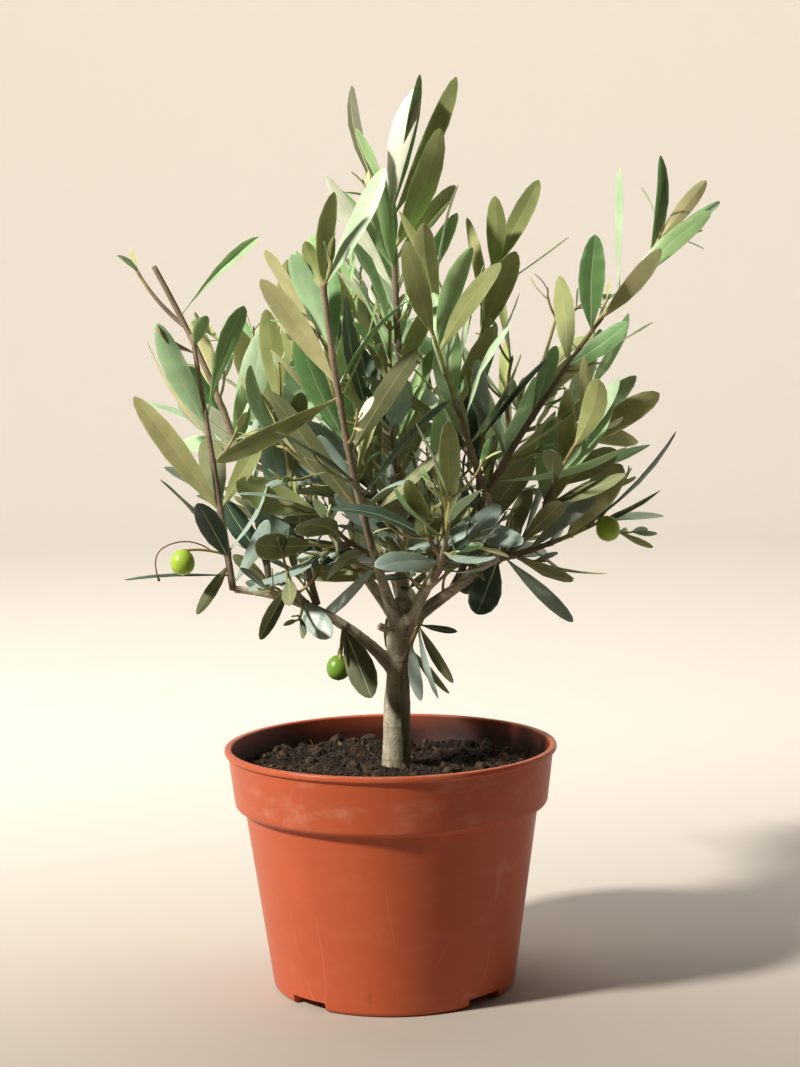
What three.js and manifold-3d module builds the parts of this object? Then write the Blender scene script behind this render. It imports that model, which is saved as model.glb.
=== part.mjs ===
// A young olive tree in a round plastic nursery pot, in millimetres, +Z up.
// The origin is the middle of the pot's flat underside. The pot stands on z = 0, the compost fills it to just
// under the rim, and the trunk rises from the compost and forks into boughs. Each bough carries masses of
// foliage: woody twigs with opposite pairs of narrow leaves, and a few green olives.
import * as THREE from "three";
import { mergeVertices } from "three/addons/utils/BufferGeometryUtils.js";
import Module from "manifold-3d";

const wasm = await Module();
wasm.setup();

// ---------------------------------------------------------------- driving dimensions
const DEG = Math.PI / 180;
const GAP = 0.3; // clearance between neighbouring solids

const POT = {
  height: 139,
  rimRadius: 95, // over the lip
  lipWidth: 2,
  lipHeight: 3,
  collarTopRadius: 93,
  collarFootRadius: 89.4,
  collarHeight: 30,
  shoulderDrop: 5,
  bodyTopRadius: 84,
  baseRadius: 69.5,
  baseEdge: 3, // bevel of the bottom edge
  wall: 1.8,
  facets: 40,
};
const DRAIN = { count: 4, firstAngle: -43.5, width: 25, height: 5.5, inner: 50, holeRadius: 4.5, holeAt: 59 };
const SOIL = { top: 126, edgeDrop: 2.5, collarGap: 16 };

const TRUNK = {
  foot: [3.5, 0, SOIL.top + GAP],
  via: [3, 0, 170],
  fork: [9, 0, 222],
  // radius at equal steps from the root flare to the fork
  radii: [8.9, 8.1, 7.8, 7.8, 7.6, 6.9, 6.6, 7.1, 8.2, 7.8, 5.2],
  sides: 12,
  stub: { from: [4, -2, 203], to: [-5, -4, 207], radius: 2.2 }, // where a shoot was pruned
};

// Each bough is one tapering limb: where it starts inside its parent, a point that it bends towards, and its end.
const BOUGHS = {
  bough_low_west: { from: [2, -1, 183], via: [-34, -9, 226], to: [-86, -14, 231], butt: 3.4, tip: 2.1 },
  bough_front_west: { from: [5, -3, 208], via: [-5, -14, 240], to: [-8, -38, 256], butt: 3.4, tip: 2.2 },
  bough_leader: { from: [9, 1, 212], via: [7, 6, 262], to: [9, 4, 330], butt: 4.4, tip: 2.4 },
  bough_east: { from: [11, -1, 209], via: [34, -10, 226], to: [60, -19, 246], butt: 3.9, tip: 2.6 },
  bough_east_riser: { from: [61, -20, 245], via: [60, -26, 268], to: [55, -33, 286], butt: 2.4, tip: 2.1 },
  bough_back_west: { from: [6, 3, 208], via: [-14, 22, 236], to: [-38, 46, 262], butt: 3.5, tip: 2.2 },
  bough_back_east: { from: [12, 3, 209], via: [26, 26, 236], to: [52, 44, 268], butt: 3.5, tip: 2.2 },
  bough_front: { from: [12, -3, 208], via: [20, -24, 228], to: [26, -50, 240], butt: 3.0, tip: 2.0 },
};

// Each mass of foliage grows from one stem. pairs: leaf pairs on the stem. leaf: length of its longest leaves.
// spread: how far leaves lean out from the stem, in degrees. phase: which way the first pair points, round the
// stem. droop: how much leaves sink. twigs: side twigs that the seeded rule adds. leafy: the share of the stem
// that bears pairs, if not all of it.
// outer: the few leaves that make the crown's outline, each as where on the stem, bearing, rise, length, width,
// and how far its upper face is turned away from the front. forks: set side twigs, as where on the stem,
// bearing, rise and length. olives: where on the stem, and how far the middle of the fruit lies from there.
const MASSES = {
  foliage_west_outer: {
    stem: { from: [-87, -14, 231], via: [-94, -20, 290], to: [-106, -16, 374] },
    pairs: 5, leaf: 56, spread: 33, phase: 0, droop: 0.02, twigs: 0, seed: 11,
    outer: [
      [0.34, -161, 54, 82, 14, 180],
      [0.68, -161, 65, 64, 14, 0],
      [0.69, -26, 72, 79, 12, 20],
      [0.64, 174, 54, 64, 7, 110],
      [0.28, -145, 64, 50, 11, 10],
      [0.15, -123, 52, 44, 14, 0],
      [0.12, -143, -50, 35, 7, 180],
      [0.07, -163, 7, 61, 5, 90],
      [0.96, -43, 58, 21, 8, 20],
    ],
    olives: [[0.16, -24, -14, -2]],
  },
  foliage_west_inner: {
    stem: { from: [-66, -12, 229], via: [-76, 24, 310], to: [-130, 18, 413] },
    pairs: 5, leaf: 56, spread: 38, phase: 60, droop: 0.05, twigs: 0, seed: 12,
    outer: [[0.86, -16, 43, 70, 10, 30], [0.47, -75, 56, 42, 10, 10], [0.48, 31, 73, 69, 17, 0]],
    leafy: 0.62,
    forks: [[0.83, 178, 50, 42]],
  },
  foliage_front_west: {
    stem: { from: [-8, -38, 256], via: [-22, -64, 310], to: [-31, -70, 400] },
    pairs: 6, leaf: 60, spread: 38, phase: 30, droop: 0, twigs: 0, seed: 13,
    outer: [
      [0.98, -13, 60, 72, 15, 10],
      [0.97, 149, 68, 30, 9, 180],
      [0.79, 175, 69, 56, 15, 0],
      [0.67, -174, 56, 71, 13, 170],
      [0.67, -23, 56, 64, 6, 70],
      [0.64, -168, -26, 75, 11, 160],
      [0.42, -20, 55, 69, 12, 185],
      [0.15, -162, 54, 87, 13, 180],
      [0.23, -27, 51, 79, 9, 60],
      [0.13, -33, 43, 66, 9, 130],
    ],
  },
  foliage_leader_top: {
    stem: { from: [9, 4, 330], via: [8, 2, 385], to: [6, 0, 440] },
    pairs: 6, leaf: 56, spread: 30, phase: 20, droop: 0, twigs: 0, seed: 14,
    outer: [
      [0.99, -45, 79, 74, 15, -60],
      [0.97, 12, 64, 87, 11, 180],
      [0.81, -30, 64, 73, 16, 175],
      [0.98, 173, 67, 83, 10, 150],
      [0.95, 23, 56, 92, 5, 90],
      [0.75, 15, 50, 60, 10, 180],
      [0.71, 155, 58, 62, 9, 40],
      [0.69, -110, 74, 55, 9, 20],
    ],
  },
  foliage_east_front: {
    stem: { from: [54, -34, 286], via: [44, -48, 320], to: [27, -56, 372] },
    pairs: 6, leaf: 58, spread: 36, phase: 0, droop: 0, twigs: 1, seed: 15,
    outer: [[0.92, -22, 73, 60, 12, 20], [0.9, -32, 52, 60, 11, 170]],
  },
  foliage_east_sweep: {
    stem: { from: [56, -33, 285], via: [84, -24, 334], to: [157, -2, 424] },
    pairs: 5, leaf: 50, spread: 34, phase: 10, droop: 0, twigs: 0, seed: 16,
    outer: [
      [0.95, -38, 77, 55, 9, 30],
      [0.97, 13, 50, 52, 9, 175],
      [0.83, -12, 42, 66, 12, -20],
      [0.82, 44, 82, 70, 5, 80],
      [0.69, -79, 79, 54, 15, 0],
      [0.7, 19, 52, 48, 9, 170],
      [0.56, -22, 32, 45, 12, -20],
      [0.57, 111, 81, 50, 14, 180],
    ],
  },
  foliage_low_east: {
    stem: { from: [61, -19, 246], via: [88, -8, 250], to: [121, 2, 264] },
    pairs: 5, leaf: 44, spread: 50, phase: 30, droop: 0.05, twigs: 0, seed: 17,
    outer: [
      [0.93, -26, 48, 36, 15, 180],
      [0.95, 3, 23, 43, 7, 110],
      [0.83, 8, 39, 80, 6, 70],
      [0.2, -9, -14, 53, 6, 100],
      [0.09, -22, -40, 54, 9, 20],
    ],
    olives: [[0.72, 22, -3, 4]],
  },
  foliage_far_east: {
    stem: { from: [50, -15, 239], via: [88, 2, 250], to: [112, -12, 316] },
    pairs: 5, leaf: 52, spread: 36, phase: 50, droop: 0, twigs: 1, seed: 18,
    outer: [
      [0.94, 11, 50, 51, 12, 10],
      [0.92, -10, 34, 56, 14, 180],
      [0.74, -24, 32, 40, 14, 180],
      [0.77, -85, 71, 57, 11, 170],
    ],
  },
  foliage_north_east: {
    stem: { from: [10, 5, 262], via: [44, 14, 300], to: [63, 15, 408] },
    pairs: 7, leaf: 58, spread: 35, phase: 0, droop: 0, twigs: 1, seed: 19,
    outer: [[0.99, -73, 73, 36, 10, 10], [0.99, -13, 62, 59, 13, 180], [0.94, 17, 35, 58, 5, 90]],
  },
  foliage_centre_west: {
    stem: { from: [8, 4, 262], via: [-18, 8, 290], to: [-38, 6, 372] },
    pairs: 7, leaf: 62, spread: 36, phase: 40, droop: 0, twigs: 1, seed: 20,
  },
  foliage_centre_front: {
    stem: { from: [8, 2, 288], via: [2, -18, 320], to: [4, -24, 376] },
    pairs: 7, leaf: 58, spread: 38, phase: 45, droop: 0, twigs: 1, seed: 21,
  },
  foliage_mid_west: {
    stem: { from: [-40, -9, 221], via: [-52, 2, 262], to: [-60, 14, 332] },
    pairs: 7, leaf: 60, spread: 40, phase: 10, droop: 0.05, twigs: 1, seed: 31,
  },
  foliage_mid_east: {
    stem: { from: [36, -11, 229], via: [58, 0, 262], to: [66, 8, 332] },
    pairs: 6, leaf: 58, spread: 40, phase: 35, droop: 0.05, twigs: 1, seed: 32,
  },
  foliage_core_west: {
    stem: { from: [7, 5, 242], via: [-20, -4, 248], to: [-37, -14, 274] },
    pairs: 5, leaf: 60, spread: 58, phase: 10, droop: 0.2, twigs: 1, seed: 33,
  },
  foliage_core_east: {
    stem: { from: [9, 3, 242], via: [26, -12, 254], to: [38, -20, 290] },
    pairs: 5, leaf: 60, spread: 56, phase: 50, droop: 0.15, twigs: 1, seed: 34,
  },
  foliage_core_front: {
    stem: { from: [10, 0, 227], via: [8, -20, 240], to: [12, -46, 268] },
    pairs: 5, leaf: 58, spread: 58, phase: 20, droop: 0.2, twigs: 1, seed: 35,
  },
  foliage_back_west: {
    stem: { from: [-38, 46, 262], via: [-62, 66, 300], to: [-84, 84, 366] },
    pairs: 7, leaf: 62, spread: 38, phase: 0, droop: 0, twigs: 2, seed: 22,
  },
  foliage_back_centre: {
    stem: { from: [9, 6, 276], via: [4, 44, 320], to: [-2, 74, 398] },
    pairs: 7, leaf: 62, spread: 36, phase: 0, droop: 0, twigs: 2, seed: 23,
  },
  foliage_back_east: {
    stem: { from: [52, 44, 268], via: [80, 62, 304], to: [104, 82, 382] },
    pairs: 7, leaf: 62, spread: 38, phase: 30, droop: 0, twigs: 2, seed: 24,
  },
  foliage_back_low: {
    stem: { from: [10, 4, 224], via: [6, 46, 240], to: [4, 92, 276] },
    pairs: 6, leaf: 60, spread: 48, phase: 20, droop: 0.15, twigs: 1, seed: 25,
  },
  foliage_front_low: {
    stem: { from: [26, -50, 240], via: [32, -72, 252], to: [34, -88, 286] },
    pairs: 6, leaf: 58, spread: 46, phase: 20, droop: 0.1, twigs: 1, seed: 26,
  },
  foliage_low_west: {
    stem: { from: [-46, -10, 222], via: [-50, -24, 226], to: [-54, -40, 240] },
    pairs: 3, leaf: 40, spread: 60, phase: 10, droop: 0.3, twigs: 0, seed: 27,
    outer: [[0.87, -135, -52, 37, 9, 160], [0.24, -47, -38, 32, 14, 0]],
  },
  foliage_low_hanging: {
    stem: { from: [-24, -7, 209], via: [-26, -14, 203], to: [-27, -18, 194] },
    pairs: 1, leaf: 26, spread: 70, phase: 20, droop: 0.2, twigs: 0, seed: 29,
    outer: [[0.2, -45, -60, 43, 17, 10]],
    olives: [[0.9, -2, 8, -11]],
  },
  foliage_trunk_spray: {
    stem: { from: [9, -8, 188], via: [12, -14, 199], to: [18, -16, 210] },
    pairs: 2, leaf: 36, spread: 75, phase: 60, droop: 1.1, twigs: 0, seed: 28,
    outer: [[0.5, -70, -70, 34, 8, 20], [0.9, -40, -72, 42, 8, 60], [0.95, -10, -60, 38, 7, 150]],
  },
};

const LEAF = { widthShare: 0.235, thick: 1.6, thickest: 0.1, foot: 0.16, sunk: 0.5, clear: 0.4 };
const TWIG = { butt: 2.2, tip: 1.3, step: 26, sideShare: 0.42 };
const OLIVE = { radius: 6.4, length: 14.5, stalk: 0.9 };

const COLOURS = {
  pot: [0xb9552f, 0.42],
  compost: [0x2b2019, 0.95],
  bark: [0x7c7261, 0.85],
  foliage: [0x66794a, 0.6],
};

// ---------------------------------------------------------------- solids and meshes
const vec = (p) => new THREE.Vector3(...p);

// A closed three.js geometry as a solid that can be cut and joined.
function solidOf(geometry) {
  const bare = geometry.clone();
  bare.deleteAttribute("normal");
  bare.deleteAttribute("uv");
  const merged = mergeVertices(bare, 1e-4);
  return new wasm.Manifold(
    new wasm.Mesh({
      numProp: 3,
      vertProperties: merged.attributes.position.array,
      triVerts: new Uint32Array(merged.index.array),
    }),
  );
}

// The largest piece of a solid, as a three.js geometry. Scraps that a cut leaves loose are dropped.
function geometryOf(solid) {
  const pieces = solid.decompose().sort((a, b) => b.volume() - a.volume());
  const mesh = pieces[0].getMesh();
  return new THREE.BufferGeometry()
    .setAttribute("position", new THREE.BufferAttribute(mesh.vertProperties, 3))
    .setIndex(new THREE.BufferAttribute(mesh.triVerts, 1));
}

const part = new THREE.Group();

function addNode(name, solid, kind) {
  const [color, roughness] = COLOURS[kind];
  const material = new THREE.MeshStandardMaterial({ color, roughness, metalness: 0 });
  const mesh = new THREE.Mesh(geometryOf(solid), material);
  mesh.name = name;
  part.add(mesh);
}

const turned = (profile, facets) =>
  solidOf(new THREE.LatheGeometry(profile.map(([r, z]) => new THREE.Vector2(r, z)), facets).rotateX(90 * DEG));

// ---------------------------------------------------------------- pot and compost
const collarFoot = POT.height - POT.collarHeight;
const shoulder = collarFoot - POT.shoulderDrop;

// Radius of the pot's outside at a height, below the shoulder and on the collar.
const bodyRadius = (z) => THREE.MathUtils.mapLinear(z, 0, shoulder, POT.baseRadius, POT.bodyTopRadius);
const collarRadius = (z) =>
  THREE.MathUtils.mapLinear(z, collarFoot, POT.height, POT.collarFootRadius, POT.collarTopRadius);

// A block over one drain notch, grown by some clearance, from well below the ground up to a height.
function drainBlock(angle, height, grow) {
  const long = POT.baseRadius + 12 - DRAIN.inner + grow;
  const deep = 10;
  const block = new THREE.BoxGeometry(long, DRAIN.width + 2 * grow, height + deep)
    .translate(DRAIN.inner - grow + long / 2, 0, (height - deep) / 2)
    .rotateZ(angle * DEG);
  return solidOf(block);
}

const drainAngles = Array.from({ length: DRAIN.count }, (_, i) => DRAIN.firstAngle + (i * 360) / DRAIN.count);

function makePot() {
  const { wall, height, baseEdge, baseRadius, rimRadius, lipWidth, lipHeight } = POT;
  const outside = turned([
    [0, 0],
    [baseRadius - baseEdge, 0],
    [bodyRadius(baseEdge), baseEdge],
    [POT.bodyTopRadius, shoulder],
    [POT.collarFootRadius - 1.2, collarFoot - 2.4],
    [POT.collarFootRadius, collarFoot],
    [collarRadius(height - lipHeight - 1), height - lipHeight - 1],
    [rimRadius, height - lipHeight],
    [rimRadius, height - 1],
    [rimRadius - 1, height],
    [0, height],
  ], POT.facets);
  const inside = turned([
    [0, wall],
    [bodyRadius(wall) - wall - baseEdge, wall],
    [bodyRadius(wall + baseEdge) - wall, wall + baseEdge],
    [POT.bodyTopRadius - wall, shoulder + 1],
    [POT.collarFootRadius - wall, collarFoot + 1],
    [rimRadius - lipWidth - wall, height + 1],
    [0, height + 1],
  ], POT.facets);
  const hollow = drainAngles.reduce(
    (space, angle) => space.subtract(drainBlock(angle, DRAIN.height + wall, wall)), inside);
  let pot = outside.subtract(hollow);
  for (const angle of drainAngles) {
    const hole = new THREE.CylinderGeometry(DRAIN.holeRadius, DRAIN.holeRadius, 20, 12)
      .rotateX(90 * DEG).translate(DRAIN.holeAt, 0, 0).rotateZ(angle * DEG);
    pot = pot.subtract(drainBlock(angle, DRAIN.height, 0)).subtract(solidOf(hole));
  }
  return pot;
}

function makeCompost() {
  const inset = POT.wall + GAP;
  const clear = inset + 0.5;
  const edge = SOIL.top - SOIL.edgeDrop;
  const fill = turned([
    [0, inset],
    [bodyRadius(inset) - clear - POT.baseEdge, inset],
    [bodyRadius(inset + POT.baseEdge) - clear, inset + POT.baseEdge],
    [POT.bodyTopRadius - clear, shoulder + 1],
    [POT.collarFootRadius - clear, collarFoot + 1.5],
    [collarRadius(edge) - clear, edge],
    [collarRadius(edge) - SOIL.collarGap, SOIL.top - 0.6],
    [0, SOIL.top],
  ], 32);
  return drainAngles.reduce(
    (soil, angle) => soil.subtract(drainBlock(angle, DRAIN.height + inset, inset)), fill);
}

// ---------------------------------------------------------------- wood
// A tapering tube round a curve, made by bending a three.js cylinder.
function tube(curve, radiusAt, sides, steps) {
  const frames = curve.computeFrenetFrames(steps);
  const geometry = new THREE.CylinderGeometry(1, 1, 1, sides, steps);
  const position = geometry.attributes.position;
  const p = new THREE.Vector3();
  for (let i = 0; i < position.count; i++) {
    const [x, y, z] = [position.getX(i), position.getY(i), position.getZ(i)];
    const k = Math.round((y + 0.5) * steps);
    const radius = radiusAt(k / steps);
    p.copy(curve.getPoint(k / steps))
      .addScaledVector(frames.binormals[k], x * radius)
      .addScaledVector(frames.normals[k], z * radius);
    position.setXYZ(i, p.x, p.y, p.z);
  }
  return solidOf(geometry);
}

const arc = ({ from, via, to }) => new THREE.QuadraticBezierCurve3(vec(from), vec(via), vec(to));
const taper = (butt, tip) => (t) => butt + (tip - butt) * t;

function trunkRadius(t) {
  const at = t * (TRUNK.radii.length - 1);
  const k = Math.min(Math.floor(at), TRUNK.radii.length - 2);
  return THREE.MathUtils.lerp(TRUNK.radii[k], TRUNK.radii[k + 1], at - k);
}

function makeTrunk(grow) {
  const curve = arc({ from: TRUNK.foot, via: TRUNK.via, to: TRUNK.fork });
  const { from, to, radius } = TRUNK.stub;
  const stub = tube(new THREE.LineCurve3(vec(from), vec(to)), () => radius + grow, 6, 1);
  return tube(curve, (t) => trunkRadius(t) + grow, TRUNK.sides, TRUNK.radii.length - 1).add(stub);
}

function limb(spec, grow = 0) {
  const curve = arc(spec);
  const steps = Math.max(3, Math.round(curve.getLength() / 16));
  return tube(curve, (t) => taper(spec.butt, spec.tip)(t) + grow, 7, steps);
}

const twigTube = (curve, butt, tip, grow = 0) =>
  tube(curve, (t) => taper(butt, tip)(t) + grow, 3, Math.max(2, Math.round(curve.getLength() / TWIG.step)));

// ---------------------------------------------------------------- leaves
// Numbers from 0 to 1 that depend only on the seed.
function seeded(seed) {
  let state = (seed * 7919 + 104729) % 2147483647;
  const next = () => (state = (state * 48271) % 2147483647) / 2147483647;
  for (let i = 0; i < 4; i++) next();
  return next;
}

// Two directions square to another. The first is level with the axis that it leans on least.
function squareTo(direction) {
  const sizes = direction.toArray().map(Math.abs);
  const reference = new THREE.Vector3().setComponent(sizes.indexOf(Math.min(...sizes)), 1);
  const first = new THREE.Vector3().crossVectors(direction, reference).normalize();
  return [first, new THREE.Vector3().crossVectors(direction, first)];
}

// A direction from its bearing, counted from +X towards +Y, and its rise above level.
const heading = (bearing, rise) =>
  new THREE.Vector3(1, 0, 0).applyAxisAngle(new THREE.Vector3(0, -1, 0), rise * DEG)
    .applyAxisAngle(new THREE.Vector3(0, 0, 1), bearing * DEG);

function leafFrom(root, along, face, length, width, random) {
  const upper = face.addScaledVector(along, -face.dot(along)).normalize();
  return {
    root: root.addScaledVector(along, -LEAF.sunk),
    along,
    upper,
    across: new THREE.Vector3().crossVectors(upper, along),
    length,
    width,
    bow: -0.08 + 0.3 * random(),
    sickle: (random() - 0.5) * 0.3,
    twist: (random() - 0.5) * 0.9,
  };
}

// A leaf of the crown's outline. Its face is turned from the front, round its own length.
function outerLeaf(curve, [t, bearing, rise, length, width, turn], random) {
  const along = heading(bearing, rise);
  const front = new THREE.Vector3(0, -1, 0);
  const face = front.addScaledVector(along, -front.dot(along)).normalize().applyAxisAngle(along, turn * DEG);
  return leafFrom(curve.getPoint(t), along, face, length, width, random);
}

// A leaf of a pair, pointing angle degrees round the stem and leaning out by spread degrees.
function pairLeaf(curve, t, angle, spread, length, droop, random) {
  const tangent = curve.getTangent(t);
  const [first, second] = squareTo(tangent);
  const turn = (angle + (random() - 0.5) * 30) * DEG;
  const lean = (spread + (random() - 0.5) * 16) * DEG;
  const out = first.multiplyScalar(Math.cos(turn)).addScaledVector(second, Math.sin(turn));
  const along = tangent.clone().multiplyScalar(Math.cos(lean)).addScaledVector(out, Math.sin(lean));
  along.z -= droop * (0.6 + 0.8 * random());
  along.normalize();
  const face = tangent.multiplyScalar(Math.sin(lean)).addScaledVector(out, -Math.cos(lean));
  face.z += 0.35 * random();
  const size = length * (0.86 + 0.22 * random());
  const width = size * LEAF.widthShare * (0.85 + 0.35 * random());
  return leafFrom(curve.getPoint(t), along, face, size, width, random);
}

// A point of a leaf: t along it, side across it and up above its middle, in millimetres.
function leafPoint(leaf, t, side, up) {
  const turn = leaf.twist * (t - 0.5);
  const bow = leaf.length * t * (1 - t);
  const across = leaf.across.clone().applyAxisAngle(leaf.along, turn);
  const upper = leaf.upper.clone().applyAxisAngle(leaf.along, turn);
  return leaf.root.clone()
    .addScaledVector(leaf.along, leaf.length * t)
    .addScaledVector(leaf.upper, leaf.bow * bow)
    .addScaledVector(leaf.across, leaf.sickle * bow)
    .addScaledVector(across, side)
    .addScaledVector(upper, up);
}

// A blade as a flattened sphere of 12 faces: six outline points, and a point on each side of its thick foot.
// grow adds clearance all round, and from leaves out its foot.
function blade(leaf, grow = 0, from = 0) {
  const half = leaf.width / 2 + grow;
  const outline = [[from, 0], [0.36, -0.9 * half], [0.75, -0.86 * half], [1, 0],
    [0.75, 0.86 * half], [0.36, 0.9 * half]];
  const geometry = new THREE.SphereGeometry(1, outline.length, 2);
  const position = geometry.attributes.position;
  const columns = outline.length + 1;
  for (let i = 0; i < position.count; i++) {
    const row = Math.floor(i / columns);
    const [t, side] = outline[(i % columns) % outline.length];
    const p = row === 1
      ? leafPoint(leaf, t, side, 0)
      : leafPoint(leaf, from + LEAF.thickest, 0, (1 - row) * (LEAF.thick / 2 + grow));
    position.setXYZ(i, p.x, p.y, p.z);
  }
  return solidOf(geometry);
}

// An olive on its stalk, hanging by its upper end.
function olive(curve, [t, ...offset]) {
  const root = curve.getPoint(t);
  const middle = root.clone().add(vec(offset));
  const top = middle.clone().setZ(middle.z + OLIVE.length / 2 - 1);
  const via = root.clone().lerp(top, 0.6).setZ(Math.max(root.z, top.z) + 2);
  const fruit = new THREE.SphereGeometry(OLIVE.radius, 8, 6).rotateX(90 * DEG)
    .scale(1, 1, OLIVE.length / 2 / OLIVE.radius).translate(...middle);
  const stalk = new THREE.QuadraticBezierCurve3(root, via, top);
  return [solidOf(fruit), tube(stalk, () => OLIVE.stalk, 3, 3)];
}

// ---------------------------------------------------------------- growing without touching
const boxed = (solid) => ({ solid, ...solid.boundingBox() });
const apart = (a, b) =>
  [0, 1, 2].some((i) => a.max[i] < b.min[i] || a.min[i] > b.max[i]) || a.solid.intersect(b.solid).isEmpty();

// All that stands so far. A leaf's foot is left out of what keeps off its own mass, because it is sunk there.
const grown = [];

function place(node, whole, past = whole) {
  grown.push({ node, whole: boxed(whole), past: boxed(past) });
}

const isClearOfOthers = (node, solid) => {
  const box = boxed(solid);
  return grown.every((other) => other.node === node || apart(box, other.whole));
};
const isClearOfOwn = (node, solid) => {
  const box = boxed(solid);
  return grown.every((other) => other.node !== node || apart(box, other.past));
};

// The side twigs of a mass: the set ones, then those that leave the stem by the golden angle and turn up.
function sideTwigs(curve, mass) {
  const set = (mass.forks ?? []).map(([t, bearing, rise, length]) => {
    const from = curve.getPoint(t);
    const via = from.clone().addScaledVector(heading(bearing, rise - 12), length / 2);
    return new THREE.QuadraticBezierCurve3(from, via, from.clone().addScaledVector(heading(bearing, rise), length));
  });
  const ruled = Array.from({ length: mass.twigs }, (_, i) => {
    const random = seeded(mass.seed * 1000 + i);
    const t = 0.2 + (0.5 * (i + random())) / mass.twigs;
    const tangent = curve.getTangent(t);
    const [first, second] = squareTo(tangent);
    const turn = (mass.phase + 137.5 * i + 40 * random()) * DEG;
    const out = first.multiplyScalar(Math.cos(turn)).addScaledVector(second, Math.sin(turn));
    const reach = curve.getLength() * TWIG.sideShare * (0.8 + 0.5 * random());
    const from = curve.getPoint(t);
    const via = from.clone().addScaledVector(tangent, 0.25 * reach).addScaledVector(out, 0.42 * reach);
    const tip = from.clone().addScaledVector(tangent, 0.8 * reach).addScaledVector(out, 0.6 * reach);
    return new THREE.QuadraticBezierCurve3(from, via, tip);
  });
  return [...set, ...ruled];
}

// A leaf is kept if it is clear of the other masses and limbs, and past its foot of its own mass.
function keepLeaf(leaf, node, blades) {
  const past = blade(leaf, LEAF.clear, LEAF.foot);
  const clear = isClearOfOthers(node, blade(leaf, LEAF.clear)) && isClearOfOwn(node, past);
  if (clear) {
    place(node, blade(leaf), past);
    blades.push(blade(leaf));
  }
  return clear;
}

// Opposite pairs up one twig, each pair a quarter turn on from the last, closing towards the tip.
// A leaf with no room is tried again a little further round, and is left out if it still has none.
function leavesOn(curve, pairs, longest, mass, node, seed) {
  const blades = [];
  const leafy = mass.leafy ?? 1;
  for (let k = 0; k < pairs; k++) {
    const share = (k + 0.6) / pairs;
    const t = leafy * (k === pairs - 1 ? 0.99 : 0.06 + 0.93 * share);
    const spread = mass.spread * (1.25 - 0.85 * share);
    const length = longest * (0.72 + 0.5 * Math.sin(Math.PI * (0.15 + 0.6 * share)) - 0.2 * share);
    for (const side of [0, 180]) {
      for (let attempt = 0; attempt < 5; attempt++) {
        const random = seeded(seed + k * 20 + side / 18 + attempt);
        const angle = mass.phase + 90 * k + side + 22 * attempt * (side ? 1 : -1);
        const leaf = pairLeaf(curve, t, angle, spread + 4 * attempt, length, mass.droop, random);
        if (keepLeaf(leaf, node, blades)) break;
      }
    }
  }
  return blades;
}

// ---------------------------------------------------------------- assembly
const pot = makePot();
const compost = makeCompost();
addNode("pot", pot, "pot");
addNode("compost", compost, "compost");
place("pot", pot);
place("compost", compost);

// The trunk's foot is a flat cut just above the compost.
addNode("trunk", makeTrunk(0), "bark");
place("trunk", makeTrunk(GAP));

const wood = [makeTrunk(GAP)]; // what a later limb is cut back from
for (const [name, spec] of Object.entries(BOUGHS)) {
  addNode(name, wood.reduce((rest, other) => rest.subtract(other), limb(spec)), "bark");
  wood.push(limb(spec, GAP));
  place(name, limb(spec, GAP));
}

// All stems, olives, side twigs and outer leaves stand before the pairs, so that the pairs keep off them.
const plans = Object.entries(MASSES).map(([name, mass]) => {
  const curve = arc(mass.stem);
  const stem = wood.reduce((rest, other) => rest.subtract(other), twigTube(curve, TWIG.butt, TWIG.tip));
  place(name, twigTube(curve, TWIG.butt, TWIG.tip, GAP));
  const solids = [stem];
  for (const fruit of mass.olives ?? []) {
    for (const solid of olive(curve, fruit)) {
      solids.push(solid);
      place(name, solid);
    }
  }
  return { name, mass, curve, solids, twigs: [] };
});
for (const { name, mass, curve, twigs, solids } of plans) {
  for (const twig of sideTwigs(curve, mass)) {
    const body = twigTube(twig, TWIG.butt * 0.75, TWIG.tip);
    if (!isClearOfOthers(name, twigTube(twig, TWIG.butt, TWIG.tip, GAP))) continue;
    place(name, body);
    twigs.push(twig);
    solids.push(body);
  }
}
for (const { name, mass, curve, solids } of plans) {
  (mass.outer ?? []).forEach((spec, i) => {
    keepLeaf(outerLeaf(curve, spec, seeded(mass.seed * 100 + i)), name, solids);
  });
}
for (const { name, mass, curve, twigs, solids } of plans) {
  solids.push(...leavesOn(curve, mass.pairs, mass.leaf, mass, name, mass.seed * 10000));
  twigs.forEach((twig, i) => {
    const isFork = i < (mass.forks ?? []).length;
    const pairs = isFork ? 1 : Math.max(3, Math.round(twig.getLength() / 16));
    const longest = isFork ? twig.getLength() * 0.35 : mass.leaf;
    solids.push(...leavesOn(twig, pairs, longest, { ...mass, leafy: 1 }, name, mass.seed * 10000 + (i + 1) * 1000));
  });
  addNode(name, wasm.Manifold.union(solids), "foliage");
}

export default part;
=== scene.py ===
import math

import bmesh
import bpy
import numpy as np
from mathutils import Matrix, Quaternion, Vector, noise
from mathutils.kdtree import KDTree


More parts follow.
